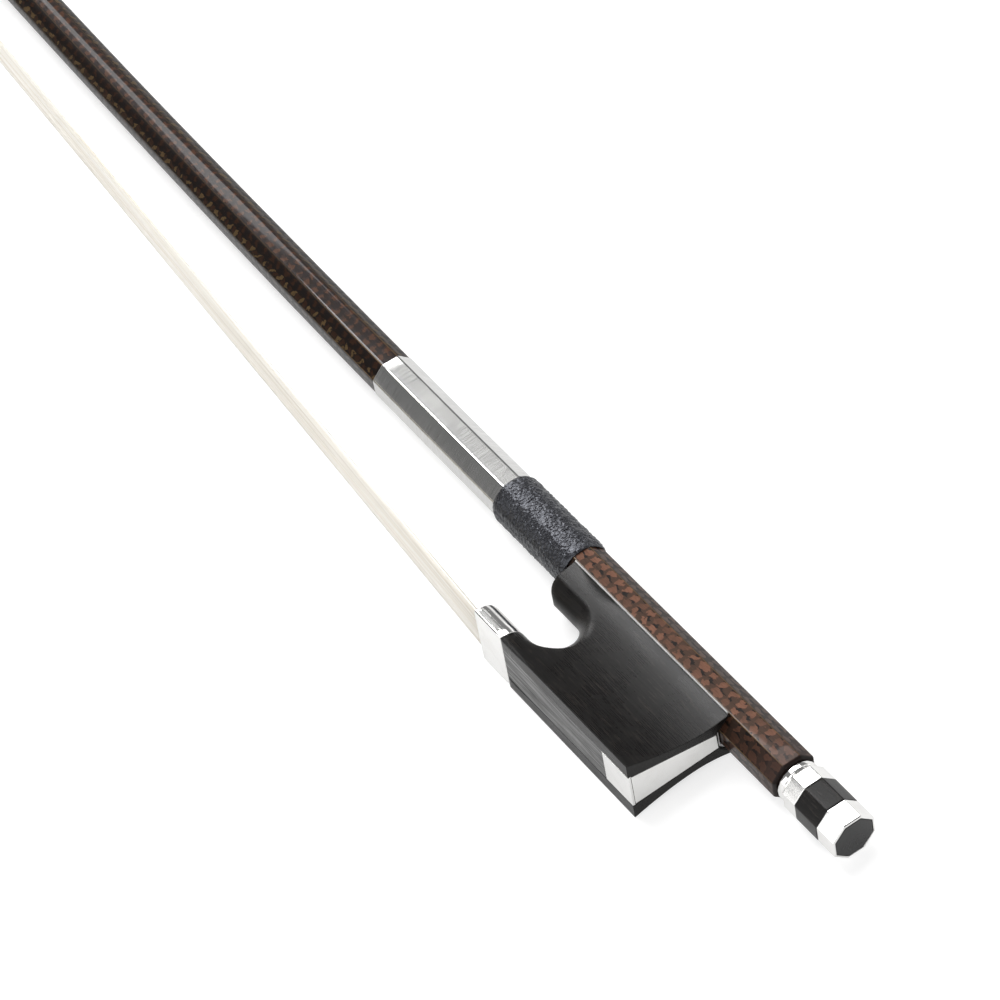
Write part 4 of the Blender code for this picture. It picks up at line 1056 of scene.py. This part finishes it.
def make_slide():
    front = -FERRULE_REAR + SEAM
    rear = -HEEL_PLATE_FRONT - SEAM
    top = FROG_DEPTH - SLIDE_SLOT_DEPTH + SEAM
    bar = slide_bar("slide_wood", front, rear, FROG_DEPTH - INLAY_THICKNESS - SEAM, top, SEAM, in_bow=True)
    set_up(bar, "ebony", "frog", "slide")
    inlay = slide_bar("slide_face", front, rear, FROG_DEPTH, FROG_DEPTH - INLAY_THICKNESS, SEAM, in_bow=True)
    set_up(inlay, "brushed_grey", "frog", "slide_inlay")
    shelf = FROG_DEPTH - HEEL_PLATE_THICKNESS
    lower = slide_bar("heel_plate_foot", -HEEL_PLATE_FRONT, -FROG_HEEL, FROG_DEPTH, shelf, 0.0, in_bow=True)
    set_up(lower, "polished_silver", "frog", "heel_plate_lower")
    tongue = back_plate("heel_plate_tongue", shelf - SEAM, SEAM, 0.0, in_bow=True)
    set_up(tongue, "polished_silver", "frog", "heel_plate_back")


# Hair


def hair_stations():
    """The ribbon's way, as (centre, thickness direction, half width, thickness)."""
    across = Vector((0, 1, 0))
    riser = -(FROG_MORTISE_FRONT - FIT - HAIR_THICKNESS / 2)
    knot_depth = FROG_MORTISE_DEPTH + 2 * FROG_KNOT_RADIUS + 2 * FIT
    channel = -HAIR_CHANNEL_DEPTH
    corner = Vector((-1, 1, 0))
    wedge_end = -FERRULE_FRONT + SEAM + WEDGE_LENGTH + FIT
    mouth = Vector((-FERRULE_FRONT, -HAIR_MOUTH_DEPTH, 0))
    rise_reach = HEAD_MORTISE_START + FIT + HAIR_THICKNESS / 2
    knot_rise = HEAD_FACE + HEAD_MORTISE_DEPTH - 2 * HEAD_KNOT_RADIUS - 2 * FIT
    free_start = mouth + HEAD.along * HAIR_GATHER_LENGTH
    free_end = HEAD.point(-HAIR_SPREAD_LENGTH, 0)
    stations = [
        (Vector((riser, -knot_depth, 0)), Vector((-1, 0, 0)), HAIR_FROG_HALF_WIDTH, HAIR_THICKNESS),
        (Vector((riser, channel, 0)), corner, HAIR_FROG_HALF_WIDTH, HAIR_THICKNESS),
        (Vector((-FERRULE_REAR - 2 * FIT, channel, 0)), across, HAIR_FROG_HALF_WIDTH, HAIR_THICKNESS),
        (Vector((wedge_end, -HAIR_MOUTH_DEPTH, 0)), across, HAIR_FERRULE_HALF_WIDTH, HAIR_THICKNESS),
    ]
    gather = 10
    for i in range(gather + 1):
        share = i / gather
        half_width = mix(HAIR_FERRULE_HALF_WIDTH, HAIR_FREE_HALF_WIDTH, share)
        thickness = mix(HAIR_THICKNESS, HAIR_FREE_THICKNESS, share)
        stations.append((mouth.lerp(free_start, share), HEAD.up, half_width, thickness))
    free = 12
    for i in range(1, free + 1):
        centre = free_start.lerp(free_end, i / free)
        stations.append((centre, HEAD.up, HAIR_FREE_HALF_WIDTH, HAIR_FREE_THICKNESS))
    stations += [
        (HEAD.point(0, 0), HEAD.up, HAIR_HEAD_HALF_WIDTH, HAIR_THICKNESS),
        (HEAD.point(rise_reach, 0), HEAD.up - HEAD.along, HAIR_HEAD_HALF_WIDTH, HAIR_THICKNESS),
        (HEAD.point(rise_reach, knot_rise), HEAD.along * -1, HAIR_HEAD_HALF_WIDTH, HAIR_THICKNESS),
    ]
    return stations


def make_hair():
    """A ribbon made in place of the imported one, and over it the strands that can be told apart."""
    stations = hair_stations()
    lengths = [0.0]
    for a, b in zip(stations, stations[1:]):
        lengths.append(lengths[-1] + (b[0] - a[0]).length)

    def place(ring, side):
        centre, thick, half_width, thickness = stations[ring]
        angle = 2 * pi * side / BAND_SIDES
        across = cos(angle)
        level = abs(sin(angle)) ** BAND_SQUARENESS * (1 if sin(angle) > 0 else -1)
        along = lengths[ring] * BAND_RIPPLES_ALONG
        unevenness = noise.noise(Vector((across * BAND_RIPPLES_ACROSS, along, level)))
        ripple = 1.0 - BAND_RIPPLE * (0.5 + 0.5 * unevenness)
        rise = (thickness / 2 - STRAND_RADIUS) * level * ripple
        return centre + thick * rise + Vector((0, 0, (half_width - STRAND_RADIUS) * across))

    def surface(ring, side):
        return hair_surface(lengths[ring], cos(2 * pi * side / BAND_SIDES))

    band = lofted("hair_band", len(stations), BAND_SIDES, place, surface, sharp=60.0)
    run = stations[4:-2]
    run_lengths = lengths[4:-2]
    chance = Random(STRAND_SEED)
    strands = bmesh.new()
    for i in range(STRAND_COUNT):
        face = 1 if i % 3 else -1
        lane = mix(-1.0, 1.0, (i + 0.5 + chance.uniform(-STRAND_JITTER, STRAND_JITTER)) / STRAND_COUNT)
        sway = chance.uniform(0.0, 2 * pi)
        lift = chance.uniform(0.25, 1.0)

        def strand_place(ring, side, lane=lane, sway=sway, lift=lift, face=face):
            centre, thick, half_width, thickness = run[ring]
            length = run_lengths[ring]
            drift = sum(reach * sin(phase * sway + length * rate) for reach, phase, rate in STRAND_SWAYS)
            width = min(max(lane + drift, -1.0), 1.0)
            level = sqrt(max(1.0 - width**STRAND_EDGE_POWER, 0.0))
            out = -face * (thickness / 2 - STRAND_RADIUS * mix(*STRAND_SINK, lift)) * level
            turn = 2 * pi * side / STRAND_SIDES
            spot = centre + thick * out + Vector((0, 0, (half_width - STRAND_RADIUS) * width))
            return spot + thick * (STRAND_RADIUS * cos(turn)) + Vector((0, 0, STRAND_RADIUS * sin(turn)))

        def strand_surface(ring, side, lane=lane):
            return hair_surface(run_lengths[ring], lane)

        loft(strands, len(run), STRAND_SIDES, strand_place, strand_surface)
    loose = piece(strands, "hair_strands", sharp=180.0)
    for made in (band, loose):
        made.data.materials.append(LOOKS["horsehair"])
        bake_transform(made)
        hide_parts("hair_ribbon")


def hair_surface(length, across):
    """across is -1 and 1 at the ribbon's two edges."""
    return millimetres(length), FACETS / 2 + STRAND_SPREAD * across


# Material tools


class Nodes:
    """A node tree with short ways to add to it."""

    def __init__(self, tree):
        self.tree = tree

    def feed(self, socket, value):
        if isinstance(value, bpy.types.NodeSocket):
            self.tree.links.new(value, socket)
        else:
            socket.default_value = value

    def add(self, kind, inputs=None, **fields):
        made = self.tree.nodes.new(f"ShaderNode{kind}")
        for name, value in fields.items():
            setattr(made, name, value)
        for name, value in (inputs or {}).items():
            self.feed(made.inputs[name], value)
        return made

    def use(self, group, **inputs):
        made = self.add("Group", node_tree=group)
        for name, value in inputs.items():
            self.feed(made.inputs[name], value)
        return made.outputs

    def maths(self, operation, a, b=0.0, c=0.0):
        made = self.add("Math", operation=operation)
        for socket, value in zip(made.inputs, (a, b, c)):
            self.feed(socket, value)
        return made.outputs[0]

    def times(self, a, b):
        return self.maths("MULTIPLY", a, b)

    def plus(self, base, value, share):
        return self.maths("MULTIPLY_ADD", value, share, base)

    def spread(self, value, low, high):
        """A value from 0 to 1 spread between two others."""
        return self.plus(low, value, high - low)

    def ramp(self, value, low, high, to_low=0.0, to_high=1.0):
        """A smooth step from to_low at low to to_high at high."""
        values = {"Value": value, "From Min": low, "From Max": high, "To Min": to_low, "To Max": to_high}
        return self.add("MapRange", values, interpolation_type="SMOOTHSTEP").outputs["Result"]

    def colours(self, share, a, b, kind="MIX"):
        made = self.add("Mix", data_type="RGBA", blend_type=kind)
        for index, value in ((0, share), (6, a), (7, b)):
            self.feed(made.inputs[index], (*value, 1.0) if isinstance(value, tuple) else value)
        return made.outputs[2]

    def vector(self, x, y, z=0.0):
        return self.add("CombineXYZ", {"X": x, "Y": y, "Z": z}).outputs["Vector"]

    def parts(self, vector):
        made = self.add("SeparateXYZ", {"Vector": vector}).outputs
        return made["X"], made["Y"], made["Z"]

    def stretched(self, vector, x, y, z):
        """The pattern's place divided by x, y and z, so that one unit of it is that long."""
        sizes = (1.0 / x, 1.0 / y, 1.0 / z)
        return self.add("Mapping", {"Vector": vector, "Scale": sizes}).outputs["Vector"]

    def cloud(self, vector, scale=1.0, detail=2.0, rough=0.5, distortion=0.0):
        values = {"Vector": vector, "Scale": scale, "Detail": detail, "Roughness": rough}
        return self.add("TexNoise", {**values, "Distortion": distortion}).outputs["Fac"]

    def bump(self, height, distance, strength=1.0, normal=None):
        inputs = {"Height": height, "Distance": distance, "Strength": strength}
        if normal is not None:
            inputs["Normal"] = normal
        return self.add("Bump", inputs).outputs["Normal"]

    def soft_edges(self, radius):
        return self.add("Bevel", {"Radius": radius}, samples=6).outputs["Normal"]

    def surface_place(self, facet=1.0):
        """Along the piece in millimetres, and round it in facets of the width given."""
        along, around, _ = self.parts(self.add("UVMap", uv_map=SURFACE).outputs["UV"])
        return along, self.times(around, facet)

    def bow_place(self):
        """The point in the bow's frame, in millimetres."""
        back = BOW.inverted()
        scale = millimetres(1.0)
        values = {
            "Vector": self.add("TexCoord").outputs["Object"],
            "Location": back.to_translation() * scale,
            "Rotation": back.to_euler(),
            "Scale": (scale, scale, scale),
        }
        return self.add("Mapping", values).outputs["Vector"]


class Group(Nodes):
    """A node group. give() feeds its outputs."""

    def __init__(self, name, inputs, outputs):
        super().__init__(bpy.data.node_groups.new(name, "ShaderNodeTree"))
        for label, kind in inputs.items():
            self.tree.interface.new_socket(label, in_out="INPUT", socket_type=f"NodeSocket{kind}")
        for label in outputs:
            self.tree.interface.new_socket(label, in_out="OUTPUT", socket_type="NodeSocketFloat")
        self.given = self.tree.nodes.new("NodeGroupInput").outputs
        self.wanted = self.tree.nodes.new("NodeGroupOutput").inputs

    def give(self, values):
        for name, value in values.items():
            self.feed(self.wanted[name], value)
        return self.tree


class Look(Nodes):
    def __init__(self, name):
        self.material = bpy.data.materials.new(name)
        self.material.use_nodes = True
        super().__init__(self.material.node_tree)

    def finish(self, values):
        shader = self.tree.nodes["Principled BSDF"].inputs
        for name, value in values.items():
            self.feed(shader[name], value)
        return self.material


def make_brushing():
    """Fine parallel lines along the place's X, with a broken, uneven depth."""
    group = Group("brushing", {"Place": "Vector", "Length": "Float", "Width": "Float"}, ("Lines", "Drift"))
    length, width = group.given["Length"], group.given["Width"]
    x, y, z = group.parts(group.given["Place"])
    spot = group.vector(*(group.maths("DIVIDE", a, b) for a, b in ((x, length), (y, width), (z, width))))
    fine = group.cloud(spot, 1.0, 3.0, 0.6)
    coarse = group.cloud(group.stretched(spot, 1.6, 5.0, 5.0))
    return group.give({"Lines": group.ramp(fine, 0.3, 0.7), "Drift": group.ramp(coarse, 0.3, 0.7)})


def make_wear():
    """Smudges that dull a surface, and hairline scratches."""
    group = Group("handling_wear", {"Place": "Vector", "Size": "Float"}, ("Smudge", "Scratch"))
    place = group.given["Place"]
    scale = group.maths("DIVIDE", 1.0, group.given["Size"])
    broad = group.cloud(place, scale, 3.0, 0.55, 0.6)
    thin = group.cloud(group.stretched(place, 6.0, 0.35, 0.35), scale, 2.0, 0.6, 1.2)
    off = group.maths("ABSOLUTE", group.maths("SUBTRACT", thin, 0.5))
    return group.give({"Smudge": group.ramp(broad, 0.42, 0.68), "Scratch": group.ramp(off, 0.004, 0.0)})


def make_weave():
    """The weave's patches: two rows to a facet that lean to each other, with dimmer ones between."""
    group = Group(
        "weave_patches", {"Along": "Float", "Around": "Float", "Pitch": "Float"},
        ("Patch", "Under", "Tone", "Fibre", "Border", "Flat", "Diagonal", "Dot"),
    )
    along, around = group.given["Along"], group.given["Around"]
    rows = group.plus(1.0, around, ROWS_ON_FACET)
    index = group.maths("FLOOR", rows)
    across = group.maths("SUBTRACT", group.maths("FRACT", rows), 0.5)
    odd = group.maths("FLOORED_MODULO", index, 2.0)
    side = group.spread(odd, 1.0, -1.0)
    place = group.vector(along, group.times(around, STICK_FACET))
    wobble = group.cloud(place, 0.35)
    pull = group.spread(group.cloud(place, 0.62, distortion=0.8), -1.0, 1.0)
    tug = group.spread(group.cloud(group.stretched(place, -1.0, 1.0, 1.0), 0.62), -1.0, 1.0)
    ragged = group.spread(group.cloud(place, 1.1, 4.0, 0.65), -1.0, 1.15)
    cell = group.maths("DIVIDE", group.plus(along, wobble, 1.3), group.given["Pitch"])
    for shift, share in ((index, 0.12), (pull, 0.55), (group.times(across, side), 0.16)):
        cell = group.plus(cell, shift, share)

    def patch(shift, length, width, lean, softness):
        """A patch in each cell, a chance for each patch, and the place along it."""
        moved = group.maths("ADD", cell, shift)
        lengthwise = group.maths("SUBTRACT", group.maths("FRACT", moved), 0.5)
        crosswise = group.plus(across, group.times(lengthwise, side), lean)
        crosswise = group.plus(crosswise, tug, 0.45)
        number = group.vector(group.maths("FLOOR", moved), index)
        chance = group.add("TexWhiteNoise", {"Vector": number}, noise_dimensions="2D").outputs["Value"]
        far = group.maths("ADD", ragged, group.spread(chance, -0.25, 0.25))
        for offset, reach in ((lengthwise, length), (crosswise, width)):
            share = group.maths("DIVIDE", group.maths("ABSOLUTE", offset), reach)
            far = group.maths("ADD", far, group.maths("POWER", share, PATCH_SQUARENESS))
        return group.ramp(far, 1.0 + softness, 1.0 - softness), chance, lengthwise

    over, tone, slope = patch(0.0, 0.36, 0.34, -0.45, 0.30)
    under, _, _ = patch(0.5, 0.34, 0.62, 0.5, 0.5)
    dot, _, _ = patch(0.5, 0.19, 0.32, 0.6, 0.4)
    tone = group.plus(group.spread(tone, -0.15, 1.1), slope, -0.5)
    fibres = {"Vector": place, "Rotation": (0.0, 0.0, radians(FIBRE_SLANT)), "Scale": (0.8, 4.5, 1.0)}
    turn = group.maths("FRACT", group.maths("ADD", around, 0.5))
    edge = group.maths("MINIMUM", turn, group.maths("SUBTRACT", 1.0, turn))
    facet = group.maths("ROUND", around)
    return group.give({
        "Patch": over,
        "Under": under,
        "Dot": group.times(dot, odd),
        "Tone": group.times(group.spread(tone, 0.5, 1.0), group.ramp(wobble, 0.2, 0.8, 0.7, 1.1)),
        "Fibre": group.cloud(group.add("Mapping", fibres).outputs["Vector"]),
        "Border": group.ramp(edge, 0.05, 0.02),
        "Flat": group.maths("COMPARE", group.maths("FLOORED_MODULO", facet, 4.0), 2.0, 0.5),
        "Diagonal": group.maths("FLOORED_MODULO", facet, 2.0),
    })


BRUSHING = make_brushing()
WEAR = make_wear()
WEAVE = make_weave()


# Looks


def carbon_weave():
    look = Look("carbon_weave")
    along, around = look.surface_place()
    pitch = look.ramp(along, 30.0, 62.0, 2.65, 2.5)
    weave = look.use(WEAVE, Along=along, Around=around, Pitch=pitch)
    patch, under, fibre = weave["Patch"], weave["Under"], weave["Fibre"]
    warm = look.colours(weave["Tone"], (0.038, 0.019, 0.011), (0.175, 0.076, 0.045))
    near = look.colours(fibre, (0.0045, 0.0028, 0.0020), (0.013, 0.0085, 0.0065))
    near = look.colours(look.times(under, 0.85), near, (0.062, 0.032, 0.020))
    near = look.colours(patch, near, warm)
    far = look.colours(fibre, (0.008, 0.004, 0.003), (0.022, 0.011, 0.006))
    far = look.colours(patch, far, (0.062, 0.026, 0.013))
    far = look.colours(look.times(under, 0.75), far, (0.014, 0.009, 0.009))
    far = look.colours(look.times(weave["Dot"], weave["Diagonal"]), far, (0.20, 0.125, 0.055))
    base = look.colours(look.ramp(along, 90.0, 125.0), near, far)
    # The fibre's tone times a painted shade by facet: the main facet and the one opposite stay light, and the
    # others are darkened to about a third.
    fibre_and_painted_facet_shade = look.times(look.spread(fibre, 0.5, 1.3), look.spread(weave["Flat"], 0.36, 1.05))
    fibre_and_facet_shade_grey = look.add("CombineColor", {"Red": fibre_and_painted_facet_shade, "Green": fibre_and_painted_facet_shade, "Blue": fibre_and_painted_facet_shade}).outputs[0]
    base = look.colours(1.0, base, fibre_and_facet_shade_grey, "MULTIPLY")
    # Painted highlight: thin gold lines along the facet borders, fainter past the sleeve.
    painted_edge_highlight_gold = look.colours(fibre, (0.06, 0.034, 0.014), (0.20, 0.12, 0.05))
    border = look.times(weave["Border"], look.ramp(along, 120.0, 150.0, 0.6, 0.15))
    base = look.colours(border, base, painted_edge_highlight_gold)
    # Painted sheen near the butt: over the last 10 mm the colour turns a paler mauve-brown, and the coat is made
    # thinner there.
    butt = look.ramp(along, 10.0, 1.5)
    base = look.colours(look.times(butt, 0.35), base, (0.050, 0.030, 0.026))
    rim = look.ramp(along, 0.75, 0.35)
    # Painted shade in the coat: its weight drops at glancing angles, on the diagonal facets and near the butt,
    # which dims the coat's reflection there.
    slant = look.add("LayerWeight", {"Blend": 0.5}).outputs["Facing"]
    thin = look.times(look.spread(weave["Diagonal"], 1.0, 0.22), look.spread(butt, 1.0, 0.35))
    place = look.bow_place()
    ripple = look.bump(look.cloud(look.stretched(place, 3.0, 1.2, 1.2)), 0.000006)
    wear = look.use(WEAR, Place=place, Size=7.0)
    return look.finish({
        "Base Color": look.colours(rim, base, (0.010, 0.006, 0.005)),
        "Roughness": look.spread(patch, 0.50, 0.38),
        "Specular IOR Level": 0.1,
        "Coat Weight": look.times(look.ramp(slant, 0.60, 0.90, 0.85, 0.4), thin),
        "Coat IOR": 1.4,
        "Coat Roughness": 0.05,
        "Normal": look.bump(wear["Scratch"], 0.000004, 0.4, ripple),
    })


def brushed_sleeve():
    look = Look("brushed_sleeve")
    along, around = look.surface_place(STICK_FACET)
    lines = look.use(BRUSHING, Place=look.vector(around, along), Length=4.5, Width=0.22)
    wear = look.use(WEAR, Place=look.bow_place(), Size=9.0)
    base = look.colours(lines["Lines"], (0.58, 0.578, 0.57), (0.78, 0.78, 0.77))
    base = look.colours(look.times(lines["Drift"], 0.35), base, (0.62, 0.615, 0.60))
    return look.finish({
        "Base Color": look.colours(look.times(wear["Smudge"], 0.15), base, (0.62, 0.61, 0.59)),
        "Metallic": 1.0,
        "Roughness": look.plus(look.spread(lines["Drift"], 0.13, 0.15), wear["Smudge"], 0.03),
        "Normal": look.bump(lines["Lines"], 0.0000003, 0.3),
    })


def grip_leather():
    look = Look("black_leather")
    skin = look.vector(*look.surface_place(LEATHER_FACET))
    pores = look.add("TexVoronoi", {"Vector": look.stretched(skin, 0.16, 0.22, 1.0), "Scale": 1.0})
    mottle = look.cloud(skin, 0.7, 4.0, 0.6)
    base = look.colours(mottle, (0.004, 0.004, 0.0045), (0.014, 0.014, 0.0165))
    wear = look.use(WEAR, Place=look.bow_place(), Size=5.0)
    fine = look.bump(pores.outputs["Distance"], 0.00004, 0.7)
    return look.finish({
        "Base Color": look.colours(look.times(wear["Smudge"], 0.3), base, (0.024, 0.024, 0.026)),
        "Roughness": look.spread(mottle, 0.19, 0.26),
        "Specular IOR Level": 0.7,
        "Specular Tint": (0.86, 0.90, 1.0, 1.0),
        "Normal": look.bump(look.cloud(skin, 2.2, 4.0, 0.6), 0.00004, 0.4, fine),
    })


def black_wood(name, rough):
    """Black wood with fine pale streaks along the grain. Its edges are softest round the throat."""
    look = Look(name)
    place = look.bow_place()
    grain = look.use(BRUSHING, Place=place, Length=7.0, Width=0.14)
    streaks = look.use(BRUSHING, Place=place, Length=4.0, Width=0.45)
    wear = look.use(WEAR, Place=place, Size=6.0)
    base = look.colours(grain["Lines"], (0.0035, 0.0031, 0.0029), (0.0085, 0.0076, 0.0072))
    pale = look.times(look.ramp(streaks["Lines"], 0.72, 0.98), 0.5)
    middle = (millimetres(-THROAT_CENTRE), millimetres(-(THROAT_TOP_DEPTH + FERRULE_ARCH_DEPTH) / 2))
    squares = [
        look.maths("POWER", look.maths("SUBTRACT", value, centre), 2.0)
        for value, centre in zip(look.parts(place), middle)
    ]
    far = look.maths("SQRT", look.maths("ADD", *squares))
    rounded = look.soft_edges(look.ramp(far, 8.0, 12.5, 0.0016, 0.00028))
    pores = look.bump(grain["Lines"], 0.000002, 0.4, rounded)
    return look.finish({
        "Base Color": look.colours(pale, base, (0.026, 0.022, 0.019)),
        "Roughness": look.plus(look.spread(grain["Lines"], rough, rough + 0.05), wear["Smudge"], 0.05),
        "Specular IOR Level": 0.22,
        "Normal": look.bump(wear["Scratch"], 0.000005, 0.3, pores),
    })


def polished_silver():
    look = Look("polished_silver")
    place = look.bow_place()
    wear = look.use(WEAR, Place=place, Size=4.0)
    polish = look.use(BRUSHING, Place=place, Length=3.0, Width=0.06)["Lines"]
    fine = look.bump(polish, 0.000002, 0.3, look.soft_edges(0.00015))
    return look.finish({
        "Base Color": look.colours(wear["Smudge"], (0.92, 0.915, 0.90), (0.88, 0.872, 0.855)),
        "Metallic": 1.0,
        "Roughness": look.plus(look.spread(wear["Smudge"], 0.08, 0.13), polish, 0.04),
        "Normal": look.bump(wear["Scratch"], 0.000005, 0.4, fine),
    })


def satin_silver():
    """The lining is dulled by the stick that slides on it."""
    look = Look("satin_silver")
    rubbed = look.use(BRUSHING, Place=look.bow_place(), Length=2.5, Width=0.05)
    return look.finish({
        "Base Color": look.colours(rubbed["Lines"], (0.90, 0.90, 0.89), (0.97, 0.97, 0.96)),
        "Metallic": 0.8,
        "Roughness": look.spread(rubbed["Drift"], 0.42, 0.52),
        "Normal": look.bump(rubbed["Lines"], 0.000004, 0.4),
    })


def brushed_inlay():
    look = Look("brushed_grey")
    place = look.bow_place()
    lines = look.use(BRUSHING, Place=place, Length=9.0, Width=0.22)
    wear = look.use(WEAR, Place=place, Size=5.0)
    base = look.colours(lines["Lines"], (0.020, 0.020, 0.020), (0.27, 0.269, 0.267))
    return look.finish({
        "Base Color": look.colours(look.times(lines["Drift"], 0.1), base, (0.13, 0.129, 0.127)),
        "Metallic": 1.0,
        "Roughness": look.plus(look.spread(lines["Drift"], 0.34, 0.46), wear["Smudge"], 0.08),
        "Normal": look.bump(lines["Lines"], 0.000006, 0.5, look.soft_edges(0.0001)),
    })


def hair_look():
    look = Look("horsehair")
    place = look.vector(*look.surface_place(HAIR_FACET))
    streak = look.cloud(look.stretched(place, 60.0, 0.16, 1.0), 1.0, 3.0, 0.6)
    broad = look.cloud(look.stretched(place, 160.0, 0.9, 1.0))
    base = look.colours(look.ramp(streak, 0.3, 0.6), (0.84, 0.78, 0.67), (0.98, 0.955, 0.90))
    return look.finish({
        "Base Color": look.colours(look.times(look.ramp(broad, 0.52, 0.62), 0.4), base, (0.62, 0.55, 0.45)),
        "Roughness": look.spread(streak, 0.42, 0.60),
        "Specular IOR Level": 0.4,
        "Normal": look.bump(streak, 0.00005, 0.6),
    })


def eye_look():
    look = Look("black_eye")
    place = look.bow_place()
    wear = look.use(WEAR, Place=place, Size=3.0)
    mottle = look.cloud(place, 1.4, 4.0)
    return look.finish({
        "Base Color": look.colours(mottle, (0.006, 0.006, 0.006), (0.014, 0.014, 0.014)),
        "Roughness": look.spread(wear["Smudge"], 0.16, 0.28),
        "Normal": look.bump(wear["Scratch"], 0.000005, 0.5, look.soft_edges(0.00012)),
    })


def grained(name, dark, light, length, width, rough, metallic=0.0, depth=0.00001):
    """A plain grained finish for the pieces that are mostly hidden."""
    look = Look(name)
    place = look.bow_place()
    grain = look.use(BRUSHING, Place=place, Length=length, Width=width)["Lines"]
    smudge = look.use(WEAR, Place=place, Size=3.0)["Smudge"]
    return look.finish({
        "Base Color": look.colours(look.times(smudge, 0.25), look.colours(grain, dark, light), dark),
        "Metallic": metallic,
        "Roughness": look.spread(smudge, rough, rough + 0.12),
        "Normal": look.bump(grain, depth, 0.5),
    })


LOOKS = {
    "carbon_weave": carbon_weave(),
    "brushed_sleeve": brushed_sleeve(),
    "black_leather": grip_leather(),
    "ebony": black_wood("frog_ebony", 0.25),
    "button_ebony": black_wood("button_ebony", 0.16),
    "polished_silver": polished_silver(),
    "satin_silver": satin_silver(),
    "brushed_grey": brushed_inlay(),
    "horsehair": hair_look(),
    "black_eye": eye_look(),
}
for name, *finish in (
    ("ivory_polymer", (0.70, 0.66, 0.55), (0.80, 0.765, 0.66), 14.0, 0.5, 0.28, 0.0, 0.000004),
    ("black_fibre", (0.008, 0.008, 0.008), (0.020, 0.020, 0.020), 1.5, 0.3, 0.55),
    ("maple", (0.42, 0.27, 0.14), (0.66, 0.48, 0.29), 5.0, 0.25, 0.5),
    ("thread", (0.60, 0.54, 0.44), (0.80, 0.75, 0.65), 0.6, 0.2, 0.75, 0.0, 0.00004),
    ("screw_steel", (0.40, 0.40, 0.41), (0.58, 0.58, 0.59), 0.35, 0.35, 0.24, 1.0),
    ("brass", (0.52, 0.35, 0.12), (0.72, 0.52, 0.22), 1.2, 0.12, 0.26, 1.0),
):
    LOOKS[name] = grained(name, *finish)


# Stage


def seen_ray(nodes):
    """1 for what is seen directly or through glass, and MIRRORED for what is seen in a mirror."""
    path = nodes.add("LightPath").outputs
    direct = nodes.maths("MAXIMUM", path["Is Camera Ray"], path["Is Transmission Ray"])
    return nodes.maths("MAXIMUM", direct, nodes.times(path["Is Glossy Ray"], MIRRORED))


def make_floor():
    builder = bmesh.new()
    bmesh.ops.create_grid(builder, x_segments=1, y_segments=1, size=FLOOR_SIZE / 2)
    table = piece(builder, "table_top", in_bow=False)
    if table.data.polygons[0].normal.z < 0:
        table.data.flip_normals()
    look = Look("white_table")
    table.data.materials.append(look.finish({
        "Base Color": (0.45, 0.45, 0.45, 1.0),
        "Roughness": 0.9,
        "Specular IOR Level": 0.0,
        "Emission Color": WHITE,
        "Emission Strength": look.times(seen_ray(look), FLOOR_GLOW),
    }))


def make_world():
    """A room that is white at the walls' foot and dim overhead, where the lamps hang."""
    world = bpy.data.worlds.new("studio")
    bpy.context.scene.world = world
    world.use_nodes = True
    nodes = Nodes(world.node_tree)
    background = world.node_tree.nodes["Background"].inputs
    _, _, height = nodes.parts(nodes.add("TexCoord").outputs["Generated"])
    nodes.feed(background["Color"], WHITE)
    nodes.feed(background["Strength"], nodes.ramp(height, 0.04, 0.30, 1.0, CEILING_GLOW))


def soft_panel(name, centre, size, radiance, target=None):
    """A lamp in the bow's frame, x by y metres, that faces down or towards a target."""
    lamp = bpy.data.lights.new(name, "AREA")
    lamp.shape = "RECTANGLE"
    lamp.size, lamp.size_y = size
    lamp.energy = radiance * pi * size[0] * size[1]
    made = bpy.data.objects.new(name, lamp)
    bpy.context.scene.collection.objects.link(made)
    made.visible_camera = False
    turn = Matrix.Identity(4)
    if target is not None:
        turn = (Vector(target) - Vector(centre)).to_track_quat("-Z", "Y").to_matrix().to_4x4()
    made.matrix_world = BOW @ Matrix.Translation(centre) @ turn


def make_camera():
    data = bpy.data.cameras.new("camera")
    data.lens = CAMERA_LENS
    data.sensor_width = SENSOR_WIDTH
    data.sensor_fit = "HORIZONTAL"
    data.clip_start = NEAREST_SEEN
    data.clip_end = FARTHEST_SEEN
    camera = bpy.data.objects.new("camera", data)
    bpy.context.scene.collection.objects.link(camera)
    forward = CAMERA_FORWARD.normalized()
    right = CAMERA_RIGHT.normalized()
    up = right.cross(forward).normalized()
    turn = Matrix((right, up, -forward)).transposed().to_4x4()
    turn.translation = CAMERA_PLACE
    camera.matrix_world = BOW @ turn
    bpy.context.scene.camera = camera


make_stick()
make_plate("tip_plate_face", PLATE_BOTTOM, PLATE_TOP, "ivory_polymer", "tip_plate")
make_plate("tip_plate_backing", PLATE_LINING_BOTTOM, PLATE_LINING_TOP, "black_fibre", "tip_plate_lining")
make_sleeve()
make_leather()
make_button()
make_frog()
make_lining()
make_ferrule()
make_slide()
make_hair()
for name, slot in HIDDEN_NODES.items():
    mesh = frame["nodes"][name].data
    mesh.materials.clear()
    mesh.materials.append(LOOKS[slot])
make_camera()
make_floor()
make_world()
for panel in PANELS:
    soft_panel(*panel)
bpy.context.scene.view_settings.view_transform = "Standard"
